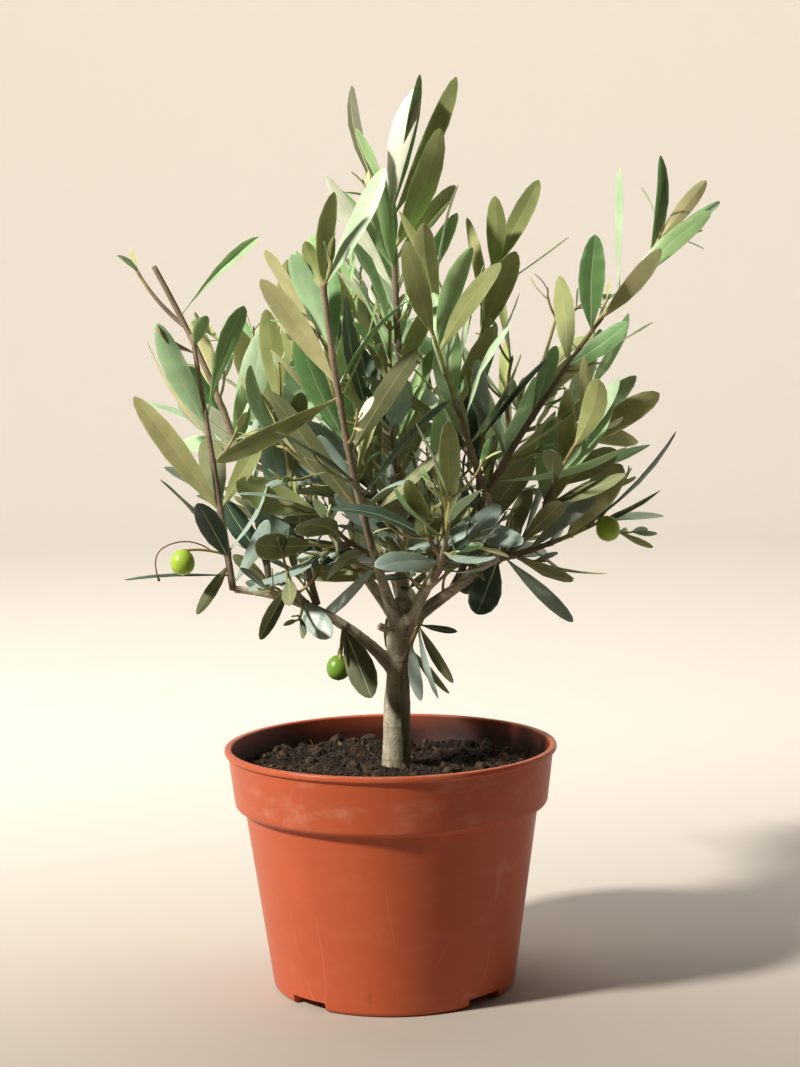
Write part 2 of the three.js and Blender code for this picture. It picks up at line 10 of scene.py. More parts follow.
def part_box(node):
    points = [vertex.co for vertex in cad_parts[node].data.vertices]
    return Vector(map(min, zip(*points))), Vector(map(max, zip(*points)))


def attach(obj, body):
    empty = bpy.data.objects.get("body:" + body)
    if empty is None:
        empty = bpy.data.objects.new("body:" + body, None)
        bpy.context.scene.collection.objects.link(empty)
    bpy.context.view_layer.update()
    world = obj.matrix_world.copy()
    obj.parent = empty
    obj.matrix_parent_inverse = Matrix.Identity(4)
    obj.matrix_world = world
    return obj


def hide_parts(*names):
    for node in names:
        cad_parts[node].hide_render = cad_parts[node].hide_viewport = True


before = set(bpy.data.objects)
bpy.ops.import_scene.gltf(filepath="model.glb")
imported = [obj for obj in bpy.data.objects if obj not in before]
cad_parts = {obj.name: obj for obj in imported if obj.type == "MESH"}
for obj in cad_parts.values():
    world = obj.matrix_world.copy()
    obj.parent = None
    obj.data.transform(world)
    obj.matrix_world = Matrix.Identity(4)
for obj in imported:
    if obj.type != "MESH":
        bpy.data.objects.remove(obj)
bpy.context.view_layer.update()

mm = 0.001

# ------------------------------------------------------------------ studio
# A portrait camera 1.2 m in front of the trunk, level with the crown and tipped down a touch. The key lamp
# is high on the left and a little in front. Floor and wall are one paper sweep, round on all sides, pale on
# the far side and darker towards and behind the camera, which is painted shade for a dim room.
camera_place = (0.0075, -1.200, 0.374)
camera_pitch = 0.095
camera_roll = 0.0174
focal_length = 71.6


def linked(name, data):
    """A new object in the scene."""
    made = bpy.data.objects.new(name, data)
    bpy.context.scene.collection.objects.link(made)
    return made


camera = linked("camera", bpy.data.cameras.new("camera"))
camera.data.lens = focal_length
camera.data.sensor_width = 36.0
camera.matrix_world = (
    Matrix.Translation(camera_place)
    @ Matrix.Rotation(math.pi / 2 - camera_pitch, 4, "X")
    @ Matrix.Rotation(-camera_roll, 4, "Z")
)
bpy.context.scene.camera = camera
bpy.context.scene.view_settings.view_transform = "Standard"


def colour(hexcode):
    """A display colour such as b9552f as the linear numbers that shaders take."""
    parts = [int(hexcode[i:i + 2], 16) / 255 for i in (0, 2, 4)]
    linear = [c / 12.92 if c <= 0.04045 else ((c + 0.055) / 1.055) ** 2.4 for c in parts]
    return (*linear, 1.0)


def lamp(name, place, target, size, watts, tint):
    """A square soft lamp that is aimed at a target."""
    light = bpy.data.lights.new(name, "AREA")
    light.size = size
    light.energy = watts
    light.color = colour(tint)[:3]
    aim = (Vector(target) - Vector(place)).to_track_quat("-Z", "Y")
    linked(name, light).matrix_world = Matrix.Translation(place) @ aim.to_matrix().to_4x4()


lamp("key_lamp", (-1.88, -1.06, 1.75), (0, 0, 0.25), 0.26, 112, "fff7ec")
lamp("wall_lamp", (0.0, 0.7, 2.9), (0, 3.2, 0.7), 1.6, 52, "fffaf6")
lamp("top_lamp", (-0.5, 0.3, 2.4), (0, 0, 0.3), 1.5, 3, "e2edff")

sky = bpy.data.worlds.new("soft_sky")
sky.use_nodes = True
sky.node_tree.nodes["Background"].inputs["Color"].default_value = colour("eaf1fb")
sky.node_tree.nodes["Background"].inputs["Strength"].default_value = 0.05
bpy.context.scene.world = sky


def turned(outline, segments):
    """Points and faces of an outline of (radius, height) turned round Z. A radius of 0 is one point."""
    points, rings, faces = [], [], []
    for radius, height in outline:
        count = segments if radius > 0 else 1
        rings.append(range(len(points), len(points) + count))
        for k in range(count):
            angle = 2 * math.pi * k / segments
            points.append((radius * math.cos(angle), radius * math.sin(angle), height))
    for low, high in zip(rings, rings[1:]):
        for k in range(segments):
            after = (k + 1) % segments
            corners = [ring[i % len(ring)] for ring, i in ((low, k), (low, after), (high, after), (high, k))]
            faces.append(tuple(dict.fromkeys(corners)))
    return points, faces


def new_mesh_object(name, points, faces, *materials):
    """A smooth mesh object from points and faces."""
    mesh = bpy.data.meshes.new(name)
    mesh.from_pydata([tuple(p) for p in points], [], faces)
    for material in materials:
        mesh.materials.append(material)
    mesh.shade_smooth()
    return linked(name, mesh)


def add_node(tree, kind, settings, values):
    """Adds a node to a tree: its settings first, then the values or links of its sockets."""
    node = tree.nodes.new(kind)
    for setting, value in settings.items():
        setattr(node, setting, value)
    for socket, value in values.items():
        if isinstance(value, bpy.types.NodeSocket):
            tree.links.new(value, node.inputs[socket])
        else:
            node.inputs[socket].default_value = value
    return node


class Wire:
    """A shader socket that takes part in sums. Each sum adds its Math node."""

    def __init__(self, finish, socket):
        self.finish = finish
        self.socket = socket

    def maths(self, operation, *values):
        return self.finish.add("ShaderNodeMath", {"operation": operation}, dict(enumerate(values)))

    def __add__(self, other):
        return self.maths("ADD", self, other)

    __radd__ = __add__

    def __sub__(self, other):
        return self.maths("SUBTRACT", self, other)

    def __rsub__(self, other):
        return self.maths("SUBTRACT", other, self)

    def __mul__(self, other):
        return self.maths("MULTIPLY", self, other)

    __rmul__ = __mul__

    def __abs__(self):
        return self.maths("ABSOLUTE", self)

    def at_most(self, top):
        return self.maths("MINIMUM", self, top)

    def step(self, low, high):
        """0 below low, 1 above high, and smooth between. High may be the lower one."""
        values = {"Value": self, "From Min": low, "From Max": high}
        return self.finish.add("ShaderNodeMapRange", {"interpolation_type": "SMOOTHSTEP"}, values)


class Finish:
    """A material that is built from a Principled shader and the nodes that feed it."""

    def __init__(self, name, **plain):
        self.material = bpy.data.materials.new(name)
        self.material.use_nodes = True
        self.tree = self.material.node_tree
        self.shader = self.tree.nodes["Principled BSDF"]
        for socket, value in plain.items():
            self.shader.inputs[socket.replace("_", " ")].default_value = value

    def add(self, kind, settings=None, values=None, output=0):
        """A wire from one output of a new node."""
        sockets = {}
        for name, value in (values or {}).items():
            sockets[name] = value.socket if isinstance(value, Wire) else value
        return Wire(self, add_node(self.tree, kind, settings or {}, sockets).outputs[output])

    def place(self, scale=(1, 1, 1), turn=(0, 0, 0)):
        """Object coordinates, stretched and turned."""
        here = self.add("ShaderNodeTexCoord", output="Object")
        return self.add("ShaderNodeMapping", {}, {"Vector": here, "Scale": scale, "Rotation": turn})

    def along(self, axis):
        """How far a place lies along one axis, in metres."""
        return self.add("ShaderNodeSeparateXYZ", {}, {"Vector": self.place()}, axis)

    def noise(self, scale, detail=4.0, rough=0.5, vector=None):
        """A cloudy value round 0.5, the finer the larger its scale."""
        values = {"Vector": vector or self.place(), "Scale": scale, "Detail": detail, "Roughness": rough}
        return self.add("ShaderNodeTexNoise", {}, values)

    def blend(self, share, first, second):
        """A colour between two, by a share from 0 to 1."""
        share_in, first_in, second_in, colour_out = 0, 6, 7, 2  # Mix shares its socket names among its types
        values = {share_in: share, first_in: first, second_in: second}
        return self.add("ShaderNodeMix", {"data_type": "RGBA"}, values, colour_out)

    def feed(self, **wires):
        """Joins wires to the shader's own sockets."""
        for socket, wire in wires.items():
            self.tree.links.new(wire.socket, self.shader.inputs[socket.replace("_", " ")])

    def relief(self, height, depth, strength=1.0):
        """A Bump node on the shader, with its depth in metres."""
        bump = self.add("ShaderNodeBump", {}, {"Height": height, "Distance": depth, "Strength": strength})
        self.feed(Normal=bump)


sweep_radius, sweep_bend, sweep_height = 2.6, 1.1, 3.4
sweep_steps = 16
sweep = [(0, 0), (sweep_radius, 0)]
for step in range(1, sweep_steps + 1):
    angle = math.pi / 2 * step / sweep_steps
    sweep.append((sweep_radius + sweep_bend * math.sin(angle), sweep_bend * (1 - math.cos(angle))))
sweep.append((sweep_radius + sweep_bend, sweep_height))
paper = Finish("pale_paper", Roughness=0.9)
# Painted shade: the paper darkens towards and behind the camera, standing in for a dim room and cutting
# bounce light.
painted_room_shade = paper.along("Y").step(0.9, -0.9)
paper.feed(Base_Color=paper.blend(painted_room_shade, colour("f1ebe2"), colour("665b4d")))
floor = new_mesh_object("floor", *turned(sweep, 96), paper.material)

# ------------------------------------------------------------------ pot
# A thin nursery pot of terracotta-coloured polypropylene, injection moulded: a tapering body, a shoulder
# that steps out to a smooth collar, and a rolled lip. Water drains through holes in four low notches.
pot_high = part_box("pot")[1]
pot_height = pot_high.z
rim_radius = pot_high.x
wall = 1.8 * mm
collar_height = 30 * mm
shoulder_drop = 5 * mm
collar_top = rim_radius - 2 * mm
collar_foot = rim_radius - 5.6 * mm
body_top = rim_radius - 11 * mm
base_radius = rim_radius - 25.5 * mm
collar_level = pot_height - collar_height
shoulder_level = collar_level - shoulder_drop
pot_segments = 160


def rounded(corners, steps=6):
    """An outline through corners of (radius, height, fillet), with an arc at each fillet."""
    outline = []
    for k, (r, z, fillet) in enumerate(corners):
        here = Vector((r, z))
        if not fillet:
            outline.append((r, z))
            continue
        back = (Vector(corners[k - 1][:2]) - here).normalized()
        ahead = (Vector(corners[k + 1][:2]) - here).normalized()
        half = back.angle(ahead) / 2
        centre = here + (back + ahead).normalized() * fillet / math.sin(half)
        start = here + back * fillet / math.tan(half) - centre
        end = here + ahead * fillet / math.tan(half) - centre
        for step in range(steps + 1):
            outline.append(tuple(centre + start.slerp(end, step / steps).normalized() * fillet))
    return outline


outside = rounded([
    (0, 0, 0),
    (base_radius - 0.2 * mm, 0, 3.4 * mm),
    (body_top, shoulder_level, 1.2 * mm),
    (collar_foot, shoulder_level + 1.6 * mm, 3.6 * mm),
    (collar_top, pot_height - 3.6 * mm, 0.8 * mm),
    (rim_radius, pot_height - 2.9 * mm, 0.9 * mm),
    (rim_radius, pot_height, 1.0 * mm),
    (rim_radius - 3.8 * mm, pot_height, 1.1 * mm),
    (collar_foot - wall, collar_level, 3 * mm),
    (body_top - wall, shoulder_level, 1.5 * mm),
    (base_radius - wall, wall, 3 * mm),
    (0, wall, 0),
])
half_wall = wall / 2
within_walls = rounded([
    (0, half_wall, 0),
    (base_radius - half_wall, half_wall, 3.4 * mm),
    (body_top - half_wall, shoulder_level, 0),
    (0, shoulder_level, 0),
])

notch_count, notch_first_angle = 4, math.radians(-43.5)
notch_width, notch_height, notch_inner = 25 * mm, 5.5 * mm, 50 * mm
hole_radius, hole_distance = 4.5 * mm, 59 * mm
notch_angles = [notch_first_angle + k * math.tau / notch_count for k in range(notch_count)]


def shaped(name, shape):
    """A new object from a bmesh, which is used up."""
    mesh = bpy.data.meshes.new(name)
    shape.to_mesh(mesh)
    shape.free()
    return linked(name, mesh)


def blocks(name, grow, height, edge):
    """One rounded block over each drain notch, grown by some clearance, from below the ground up."""
    shape = bmesh.new()
    reach, deep = rim_radius - notch_inner, 10 * mm
    for angle in notch_angles:
        place = (
            Matrix.Rotation(angle, 4, "Z")
            @ Matrix.Translation((notch_inner - grow + reach / 2, 0, (height - deep) / 2))
            @ Matrix.Diagonal((reach, notch_width + 2 * grow, height + deep, 1))
        )
        bmesh.ops.create_cube(shape, size=1, matrix=place)
    bmesh.ops.bevel(shape, geom=shape.edges[:], offset=edge, segments=4, profile=0.5, affect="EDGES")
    return shaped(name, shape)


def settled(piece):
    """Turns a piece and its modifiers into a plain mesh."""
    evaluated = piece.evaluated_get(bpy.context.evaluated_depsgraph_get())
    mesh = bpy.data.meshes.new_from_object(evaluated)
    if not any(mesh.materials):
        mesh.materials.clear()
    piece.modifiers.clear()
    piece.data = mesh
    mesh.name = piece.name
    return piece


def cut(piece, tool, operation):
    """Joins or cuts a piece with a tool, which is used up."""
    modifier = piece.modifiers.new("cut", "BOOLEAN")
    modifier.operation = operation
    modifier.object = tool
    modifier.solver = "MANIFOLD"
    settled(piece)
    bpy.data.objects.remove(tool)


pot = new_mesh_object("pot_body", *turned(outside, pot_segments))
hoods = blocks("hoods", wall, notch_height + wall, 1.6 * mm)
cut(hoods, new_mesh_object("body_block", *turned(within_walls, pot_segments)), "INTERSECT")
cut(pot, hoods, "UNION")
cut(pot, blocks("notches", 0, notch_height, 1.0 * mm), "DIFFERENCE")
drills = bmesh.new()
for angle in notch_angles:
    place = Matrix.Rotation(angle, 4, "Z") @ Matrix.Translation((hole_distance, 0, notch_height))
    bmesh.ops.create_cone(drills, cap_ends=True, segments=32, radius1=hole_radius, radius2=hole_radius,
                          depth=14 * mm, matrix=place)
cut(pot, shaped("drills", drills), "DIFFERENCE")
pot.data.shade_smooth()
pot.data.set_sharp_from_angle(angle=math.radians(38))


def scuffs(finish, scale, turn, width, gate):
    """Thin scratches: level lines of a slow noise, kept where another noise is over the gate."""
    lines = finish.noise(scale, 1.0, 0.4, finish.place((1, 1, 0.22), turn))
    thin = abs(lines - 0.5).step(width, 0.0)
    where = finish.noise(scale * 0.9, 2.0, 0.5, finish.place((1, 1, 0.7), (0.4, turn[0], 1)))
    return thin * where.step(gate, gate + 0.08)


def moulded_plastic(name, body, deep, dust_and_sheen_share, dirt):
    """Terracotta polypropylene: slow drifts of colour, a pale haze on the collar that is partly dust and
    partly painted sheen, faint scratches.
    """
    finish = Finish(name, Specular_IOR_Level=0.32)
    level = finish.along("Z")
    drift = finish.noise(16, 3.0, 0.55)
    base = finish.blend(drift.step(0.3, 0.7) * 0.45, colour(body), colour(deep))
    # The pale haze is partly dust and partly a painted sheen, heavier on the collar.
    cloud = finish.noise(38, 6.0, 0.62, finish.place((1, 1, 2.2)))
    on_collar = level.step(collar_level - 0.006, collar_level + 0.004) * 0.3 + 0.06
    dust_and_sheen = cloud.step(0.45, 0.8) * on_collar * dust_and_sheen_share
    lines = scuffs(finish, 21, (0.9, 0.3, 0), 0.0035, 0.55) + scuffs(finish, 27, (-0.6, 0.9, 0), 0.003, 0.57)
    marks = (lines * 0.13).at_most(0.2)
    splash = finish.noise(120, 5.0, 0.7).step(0.6, 0.75) * level.step(0.03, 0.0) * dirt
    hazed_base = finish.blend((dust_and_sheen + marks).at_most(0.8), base, colour("e3b9a2"))
    finish.feed(
        Base_Color=finish.blend(splash, hazed_base, colour("5a4634")),
        Roughness=cloud * 0.22 + dust_and_sheen * 0.3 + 0.3,
    )
    grain = finish.noise(900, 3.0, 0.6) * 0.35 + finish.noise(45, 3.0, 0.5) * 0.65
    finish.relief(grain - marks * 0.5, 0.00022, 0.5)
    return finish.material


pot.data.materials.append(moulded_plastic("terracotta_plastic", "be5a37", "ac4e2e", 0.9, 0.5))
# The inside wall is a darker copy of the terracotta, which is painted shade, and it darkens further from the
# rim down into the pot, more painted shade. Patches of near-black peat crust lie just under the rim.
inner_finish = Finish("damp_inner_plastic", Roughness=0.5)
inner_level = inner_finish.along("Z")
stain = inner_finish.noise(55, 6.0, 0.65)
shade_below_rim = inner_level.step(pot_height - 0.001, pot_height - 0.011)
inner_base = inner_finish.blend(shade_below_rim * 0.95, colour("7c3620"), colour("3c190d"))
crust = stain.step(0.5, 0.68) * inner_level.step(pot_height - 0.004, pot_height - 0.014)
inner_finish.feed(Base_Color=inner_finish.blend(crust * 0.8, inner_base, colour("1f120b")))
inner_finish.relief(stain, 0.0006, 0.6)
pot.data.materials.append(inner_finish.material)
inner_foot, inner_head = 20 * mm, pot_height - 1.5 * mm
for face in pot.data.polygons:
    inward = face.center.xy.normalized().dot(face.normal.xy) < -0.3
    face.material_index = 1 if inward and inner_foot < face.center.z < inner_head else 0
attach(pot, "root")
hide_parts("pot")

# ------------------------------------------------------------------ compost
# Dark peat compost, damp and lumpy, filled to a finger's breadth under the rim and heaped a little at the
# trunk. Crumbs, clods, chips of bark and short fibres lie loose on top.
soil_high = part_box("compost")[1]
trunk_x, trunk_y = 3.5 * mm, 0.0
soil_edge_drop = 2.5 * mm
soil_floor = 2.4 * mm


def soil_rise(x, y):
    """Height of the compost above its mean level."""
    spot = Vector((x, y, 0.4))
    lumps = 0.0
    for height, pace in ((3.4, 34), (2.0, 95), (1.1, 260)):
        lumps += height * mm * noise.noise(spot * pace)
    from_trunk = math.hypot(x - trunk_x, y - trunk_y)
    heap = 1.6 * mm * math.exp(-((from_trunk / (17 * mm)) ** 2))
    edge = max(0.0, math.hypot(x, y) / (collar_top - wall) - 0.8) / 0.2
    return lumps + heap - soil_edge_drop * edge * edge


def inner_radius(level):
    """Radius of the pot's inside at a height on the collar."""
    share = (level - collar_level) / (pot_height - collar_level)
    return collar_foot - wall + share * (rim_radius - 3.8 * mm - collar_foot + wall)


soil_level = soil_high.z - 0.8 * mm
soil_radius = inner_radius(soil_level) - 0.1 * mm
soil_rings = 64
soil_segments = 180
soil_gap = 0.3 * mm  # between the compost and the hoods over the drain notches


def soil_object(name, foot, margin):
    """The compost's lumpy top as an open sheet that ends some way off the wall, on a foot if it has one."""
    radius = soil_radius - margin
    top = [(radius * (1 - k / soil_rings), soil_level) for k in range(soil_rings)] + [(0, soil_level)]
    points, faces = turned(foot + top, soil_segments)
    points = [(x, y, z + soil_rise(x, y) if z == soil_level else z) for x, y, z in points]
    return new_mesh_object(name, points, faces)


compost = soil_object("compost_fill", [
    (0, soil_floor),
    (base_radius - wall - 4 * mm, soil_floor),
    (base_radius - wall - 0.6 * mm, soil_floor + 4 * mm),
    (body_top - wall - 0.8 * mm, shoulder_level),
    (collar_foot - wall - 0.8 * mm, collar_level + 1 * mm),
], 0)
cut(compost, blocks("soil_drains", wall + soil_gap, notch_height + wall + soil_gap, 1.6 * mm), "DIFFERENCE")

peat = Finish("damp_peat", Roughness=0.95)
clod = peat.noise(210, 8.0, 0.68)
speck = peat.noise(620, 4.0, 0.6)
peat_base = peat.blend(clod.step(0.38, 0.7), colour("120b06"), colour("38281a"))
peat.feed(Base_Color=peat.blend(speck.step(0.62, 0.72) * 0.5, peat_base, colour("5b4630")))
peat.relief(clod * 0.7 + speck * 0.3, 0.0012, 0.9)
compost.data.materials.append(peat.material)
compost.data.shade_smooth()
compost.data.set_sharp_from_angle(angle=math.radians(60))


def strewing_tree():
    """Geometry Nodes that strew copies of a grain over a surface: turned, sized and dented by chance."""
    tree = bpy.data.node_groups.new("strew_grains", "GeometryNodeTree")
    keys = {}
    kinds = {"Surface": "Geometry", "Grain": "Object", "Per Square Metre": "Float", "Smallest": "Float",
             "Largest": "Float", "Dents": "Float", "Seed": "Int", "Finish": "Material"}
    for name, kind in kinds.items():
        socket = tree.interface.new_socket(name, in_out="INPUT", socket_type=f"NodeSocket{kind}")
        keys[name] = socket.identifier
    tree.interface.new_socket("Grains", in_out="OUTPUT", socket_type="NodeSocketGeometry")

    def add(kind, settings=None, values=None, output=0):
        return add_node(tree, kind, settings or {}, values or {}).outputs[output]

    given = tree.nodes.new("NodeGroupInput").outputs
    points = add("GeometryNodeDistributePointsOnFaces", {}, {
        "Mesh": given["Surface"], "Density": given["Per Square Metre"], "Seed": given["Seed"]})
    grain = add("GeometryNodeObjectInfo", {}, {"Object": given["Grain"]}, "Geometry")
    turn = add("FunctionNodeRandomValue", {"data_type": "FLOAT_VECTOR"}, {
        0: (0, 0, 0), 1: (math.tau, math.tau, math.tau), "Seed": given["Seed"]})
    chance = add("FunctionNodeRandomValue", {"data_type": "FLOAT"}, {2: 0.0, 3: 1.0, "Seed": 77}, 1)
    seldom = add("ShaderNodeMath", {"operation": "POWER"}, {0: chance, 1: 3.0})
    span = add("ShaderNodeMath", {"operation": "SUBTRACT"}, {0: given["Largest"], 1: given["Smallest"]})
    extra = add("ShaderNodeMath", {"operation": "MULTIPLY"}, {0: span, 1: seldom})
    size = add("ShaderNodeMath", {"operation": "ADD"}, {0: extra, 1: given["Smallest"]})
    copies = add("GeometryNodeInstanceOnPoints", {}, {
        "Points": points, "Instance": grain, "Rotation": turn, "Scale": size})
    real = add("GeometryNodeRealizeInstances", {}, {"Geometry": copies})
    rough = add("ShaderNodeTexNoise", {}, {"Scale": 420.0, "Detail": 2.0}, "Color")
    signed = add("ShaderNodeVectorMath", {"operation": "SUBTRACT"}, {0: rough, 1: (0.5, 0.5, 0.5)})
    dent = add("ShaderNodeVectorMath", {"operation": "SCALE"}, {0: signed, "Scale": given["Dents"]})
    dented = add("GeometryNodeSetPosition", {}, {"Geometry": real, "Offset": dent})
    finished = add("GeometryNodeSetMaterial", {}, {"Geometry": dented, "Material": given["Finish"]})
    add_node(tree, "NodeGroupOutput", {}, {"Grains": finished})
    return tree, keys


strew, strew_keys = strewing_tree()


def strewn(name, stretch, rounds, finish, per_square_metre, smallest, largest, dents, seed):
    """A plain mesh of grains strewn over the compost: stretched balls, and the finer the more rounds."""
    shape = bmesh.new()
    bmesh.ops.create_icosphere(shape, subdivisions=rounds, radius=1, matrix=Matrix.Diagonal((*stretch, 1)))
    grain = shaped("grain", shape)
    made = soil_object(name, [], 0.85 * largest * mm)
    modifier = made.modifiers.new("strew", "NODES")
    modifier.node_group = strew
    values = {"Grain": grain, "Per Square Metre": per_square_metre, "Smallest": smallest * mm,
              "Largest": largest * mm, "Dents": dents * mm, "Seed": seed, "Finish": finish}
    for socket, value in values.items():
        modifier[strew_keys[socket]] = value
    settled(made)
    bpy.data.objects.remove(grain)
    return made


def loose_finish(name, dark, light):
    """Damp, dull grains, mottled between two colours."""
    finish = Finish(name, Roughness=0.92)
    mottle = finish.noise(260, 4.0, 0.6)
    finish.feed(Base_Color=finish.blend(mottle.step(0.35, 0.68), colour(dark), colour(light)))
    finish.relief(finish.noise(1500, 3.0, 0.6), 0.0004, 0.8)
    return finish.material


crumbs = strewn("peat_crumbs", (1, 0.85, 0.7), 1, loose_finish("peat_crumb", "100a06", "3c2a1b"),
                190000, 0.5, 1.9, 0.9, 3)
clods = strewn("peat_clods", (1, 0.8, 0.6), 2, loose_finish("peat_clod", "140d08", "55412c"),
               6500, 1.6, 7.0, 3.4, 5)
fibres = strewn("peat_fibres", (1, 0.07, 0.07), 1, loose_finish("peat_fibre", "4b3524", "8a6d4c"),
                9000, 1.6, 6.0, 1.2, 8)
chips = strewn("bark_chips", (1, 0.45, 0.18), 1, loose_finish("bark_chip", "5a4733", "93805f"),
               1900, 1.6, 4.6, 0.8, 13)
for piece in (compost, crumbs, clods, fibres, chips):
    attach(piece, "root")
    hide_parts("compost")

# ------------------------------------------------------------------ trunk and boughs
# Living olive wood: a short trunk as thick as a finger that swells at its foot, forks, and carries eight
# boughs. The bark is thin and grey, with lengthwise furrows, small warts and rings where leaves once stood.
# Each line is where the limb starts, a point that it bends towards, and its end, in millimetres.
trunk_line = [(3.5, 0, 121.5), (3, 0, 170), (9, 0, 222)]
trunk_radii = [9.4, 8.3, 7.8, 7.8, 7.6, 6.9, 6.6, 7.1, 8.2, 7.8, 5.2]
stub_line = [(4, -2, 203), (0, -3, 204.5), (-5.4, -4.2, 207.6)]
boughs = {
    "bough_low_west": ([(2, -1, 183), (-34, -9, 226), (-86, -14, 231)], 3.4, 2.1),
    "bough_front_west": ([(5, -3, 208), (-5, -14, 240), (-8, -38, 256)], 3.4, 2.2),
    "bough_leader": ([(9, 1, 212), (7, 6, 262), (9, 4, 330)], 4.4, 2.4),
    "bough_east": ([(11, -1, 209), (34, -10, 226), (60, -19, 246)], 3.9, 2.6),
    "bough_east_riser": ([(61, -20, 245), (60, -26, 268), (55, -33, 286)], 2.4, 2.1),
    "bough_back_west": ([(6, 3, 208), (-14, 22, 236), (-38, 46, 262)], 3.5, 2.2),
    "bough_back_east": ([(12, 3, 209), (26, 26, 236), (52, 44, 268)], 3.5, 2.2),
    "bough_front": ([(12, -3, 208), (20, -24, 228), (26, -50, 240)], 3.0, 2.0),
}


class Arc:
    """A quadratic curve from one point to another that bends towards a third, given in millimetres."""

    def __init__(self, corners, scale=mm):
        self.start, self.via, self.end = (Vector(p) * scale for p in corners)

    def point(self, t):
        return self.start * (1 - t) ** 2 + self.via * (2 * t * (1 - t)) + self.end * t * t

    def tangent(self, t):
        return ((self.via - self.start) * (1 - t) + (self.end - self.via) * t).normalized()

    def length(self, divisions=200):
        points = [self.point(k / divisions) for k in range(divisions + 1)]
        return sum((b - a).length for a, b in zip(points, points[1:]))


def tube(middles, radii, sides):
    """Points and faces of a tube round a line of middles, with a rounded point at each end."""
    middles = [Vector(p) for p in middles]
    points, faces = [], []
    side = None
    for k, (middle, radius) in enumerate(zip(middles, radii)):
        ahead = (middles[min(k + 1, len(middles) - 1)] - middles[max(k - 1, 0)]).normalized()
        side = ahead.orthogonal() if side is None else side - ahead * side.dot(ahead)
        side.normalize()
        other = ahead.cross(side)
        for s in range(sides):
            angle = math.tau * s / sides
            points.append(middle + (side * math.cos(angle) + other * math.sin(angle)) * radius)
    for k in range(len(middles) - 1):
        for s in range(sides):
            a, b = k * sides + s, k * sides + (s + 1) % sides
            faces.append((a, b, b + sides, a + sides))
    last = len(middles) - 1
    for ring, inner, order in ((0, 1, -1), (last, last - 1, 1)):
        past = (middles[ring] - middles[inner]).normalized()
        points.append(middles[ring] + past * radii[ring] * 0.45)
        for s in range(sides):
            corners = (ring * sides + s, ring * sides + (s + 1) % sides, len(points) - 1)
            faces.append(corners[::order])
    return points, faces


class Stock:
    """Many small shapes gathered into one mesh, each face with the number of its finish."""

    def __init__(self):
        self.points, self.faces, self.finishes = [], [], []

    def add(self, points, faces, finish=0):
        start = len(self.points)
        self.points.extend(points)
        self.faces.extend(tuple(start + i for i in face) for face in faces)
        self.finishes.extend(finish if isinstance(finish, list) else [finish] * len(faces))

    def piece(self, name, *materials):
        made = new_mesh_object(name, self.points, self.faces, *materials)
        made.data.polygons.foreach_set("material_index", self.finishes)
        return made


wood = Stock()
limb_spots = []  # rows of middle, direction, distance along, radius


def limb(curve, radius_at, sides=20, step=2.0 * mm):
    """A limb's tube. Its middles are kept, so that the bark can follow them."""
    count = max(6, round(curve.length() / step))
    shares = [k / count for k in range(count + 1)]
    middles = [curve.point(t) for t in shares]
    radii = [radius_at(t) for t in shares]
    along = 0.0
    for k, t in enumerate(shares):
        along += (middles[k] - middles[k - 1]).length if k else 0.0
        limb_spots.append((middles[k], curve.tangent(t), along, radii[k]))
    wood.add(*tube(middles, radii, sides))


def trunk_radius(t):
    """Radius of the trunk at a share of its length, from its root flare up."""
    return float(np.interp(t, np.linspace(0, 1, len(trunk_radii)), trunk_radii)) * mm


limb(Arc(trunk_line), trunk_radius, 32)
limb(Arc(stub_line), lambda t: 2.3 * mm, 12)
for line, butt, tip in boughs.values():
    curve = Arc(line)
    length = curve.length()
    flare = 0.0 if line[0][2] > 240 else 0.4  # a bough swells where it leaves the trunk, not another bough
    limb(curve, lambda t: (butt + (tip - butt) * t) * mm * (1 + flare * math.exp(-t * length / (9 * mm))))
bark_skin = wood.piece("trunk_and_boughs")
modifier = bark_skin.modifiers.new("flow", "REMESH")
modifier.mode = "VOXEL"
modifier.voxel_size = 0.62 * mm
modifier = bark_skin.modifiers.new("soften", "SMOOTH")
modifier.factor = 0.5
modifier.iterations = 4
settled(bark_skin)

limb_tree = KDTree(len(limb_spots))
for k, spot in enumerate(limb_spots):
    limb_tree.insert(spot[0], k)
limb_tree.balance()


def bark_relief(point):
    """Furrow value at a place, and height of the bark there: furrows, warts, and rings of old leaf scars."""
    middle, ahead, along, radius = limb_spots[limb_tree.find(point)[1]]
    out = point - middle
    along += out.dot(ahead)
    out = (out - ahead * out.dot(ahead)).normalized()
    on_bark = out * radius * 420 + Vector((0, 0, 1)) * along * 60
    furrow = noise.noise(on_bark) * 0.6 + noise.noise(on_bark * 2.1 + Vector((7, 3, 1))) * 0.4
    wart = max(0.0, noise.noise(point * 330) - 0.28) * 1.6
    ring = math.exp(-(((along / (19 * mm)) % 1.0 - 0.5) / 0.05) ** 2) * 0.35
    coarse = 0.25 + 0.75 * min(1.0, radius / (7 * mm))  # thin limbs have finer bark
    return furrow, (0.28 * furrow + 0.45 * wart + ring * 0.5) * coarse * 0.9 * mm


crease = []
normals = [Vector(v.normal) for v in bark_skin.data.vertices]
for vertex, normal in zip(bark_skin.data.vertices, normals):
    furrow, height = bark_relief(vertex.co)
    vertex.co += normal * height
    crease.append(furrow * 0.5 + 0.5)
bark_skin.data.attributes.new("furrow", "FLOAT", "POINT").data.foreach_set("value", crease)
bark_skin.data.update()
bark_skin.data.shade_smooth()


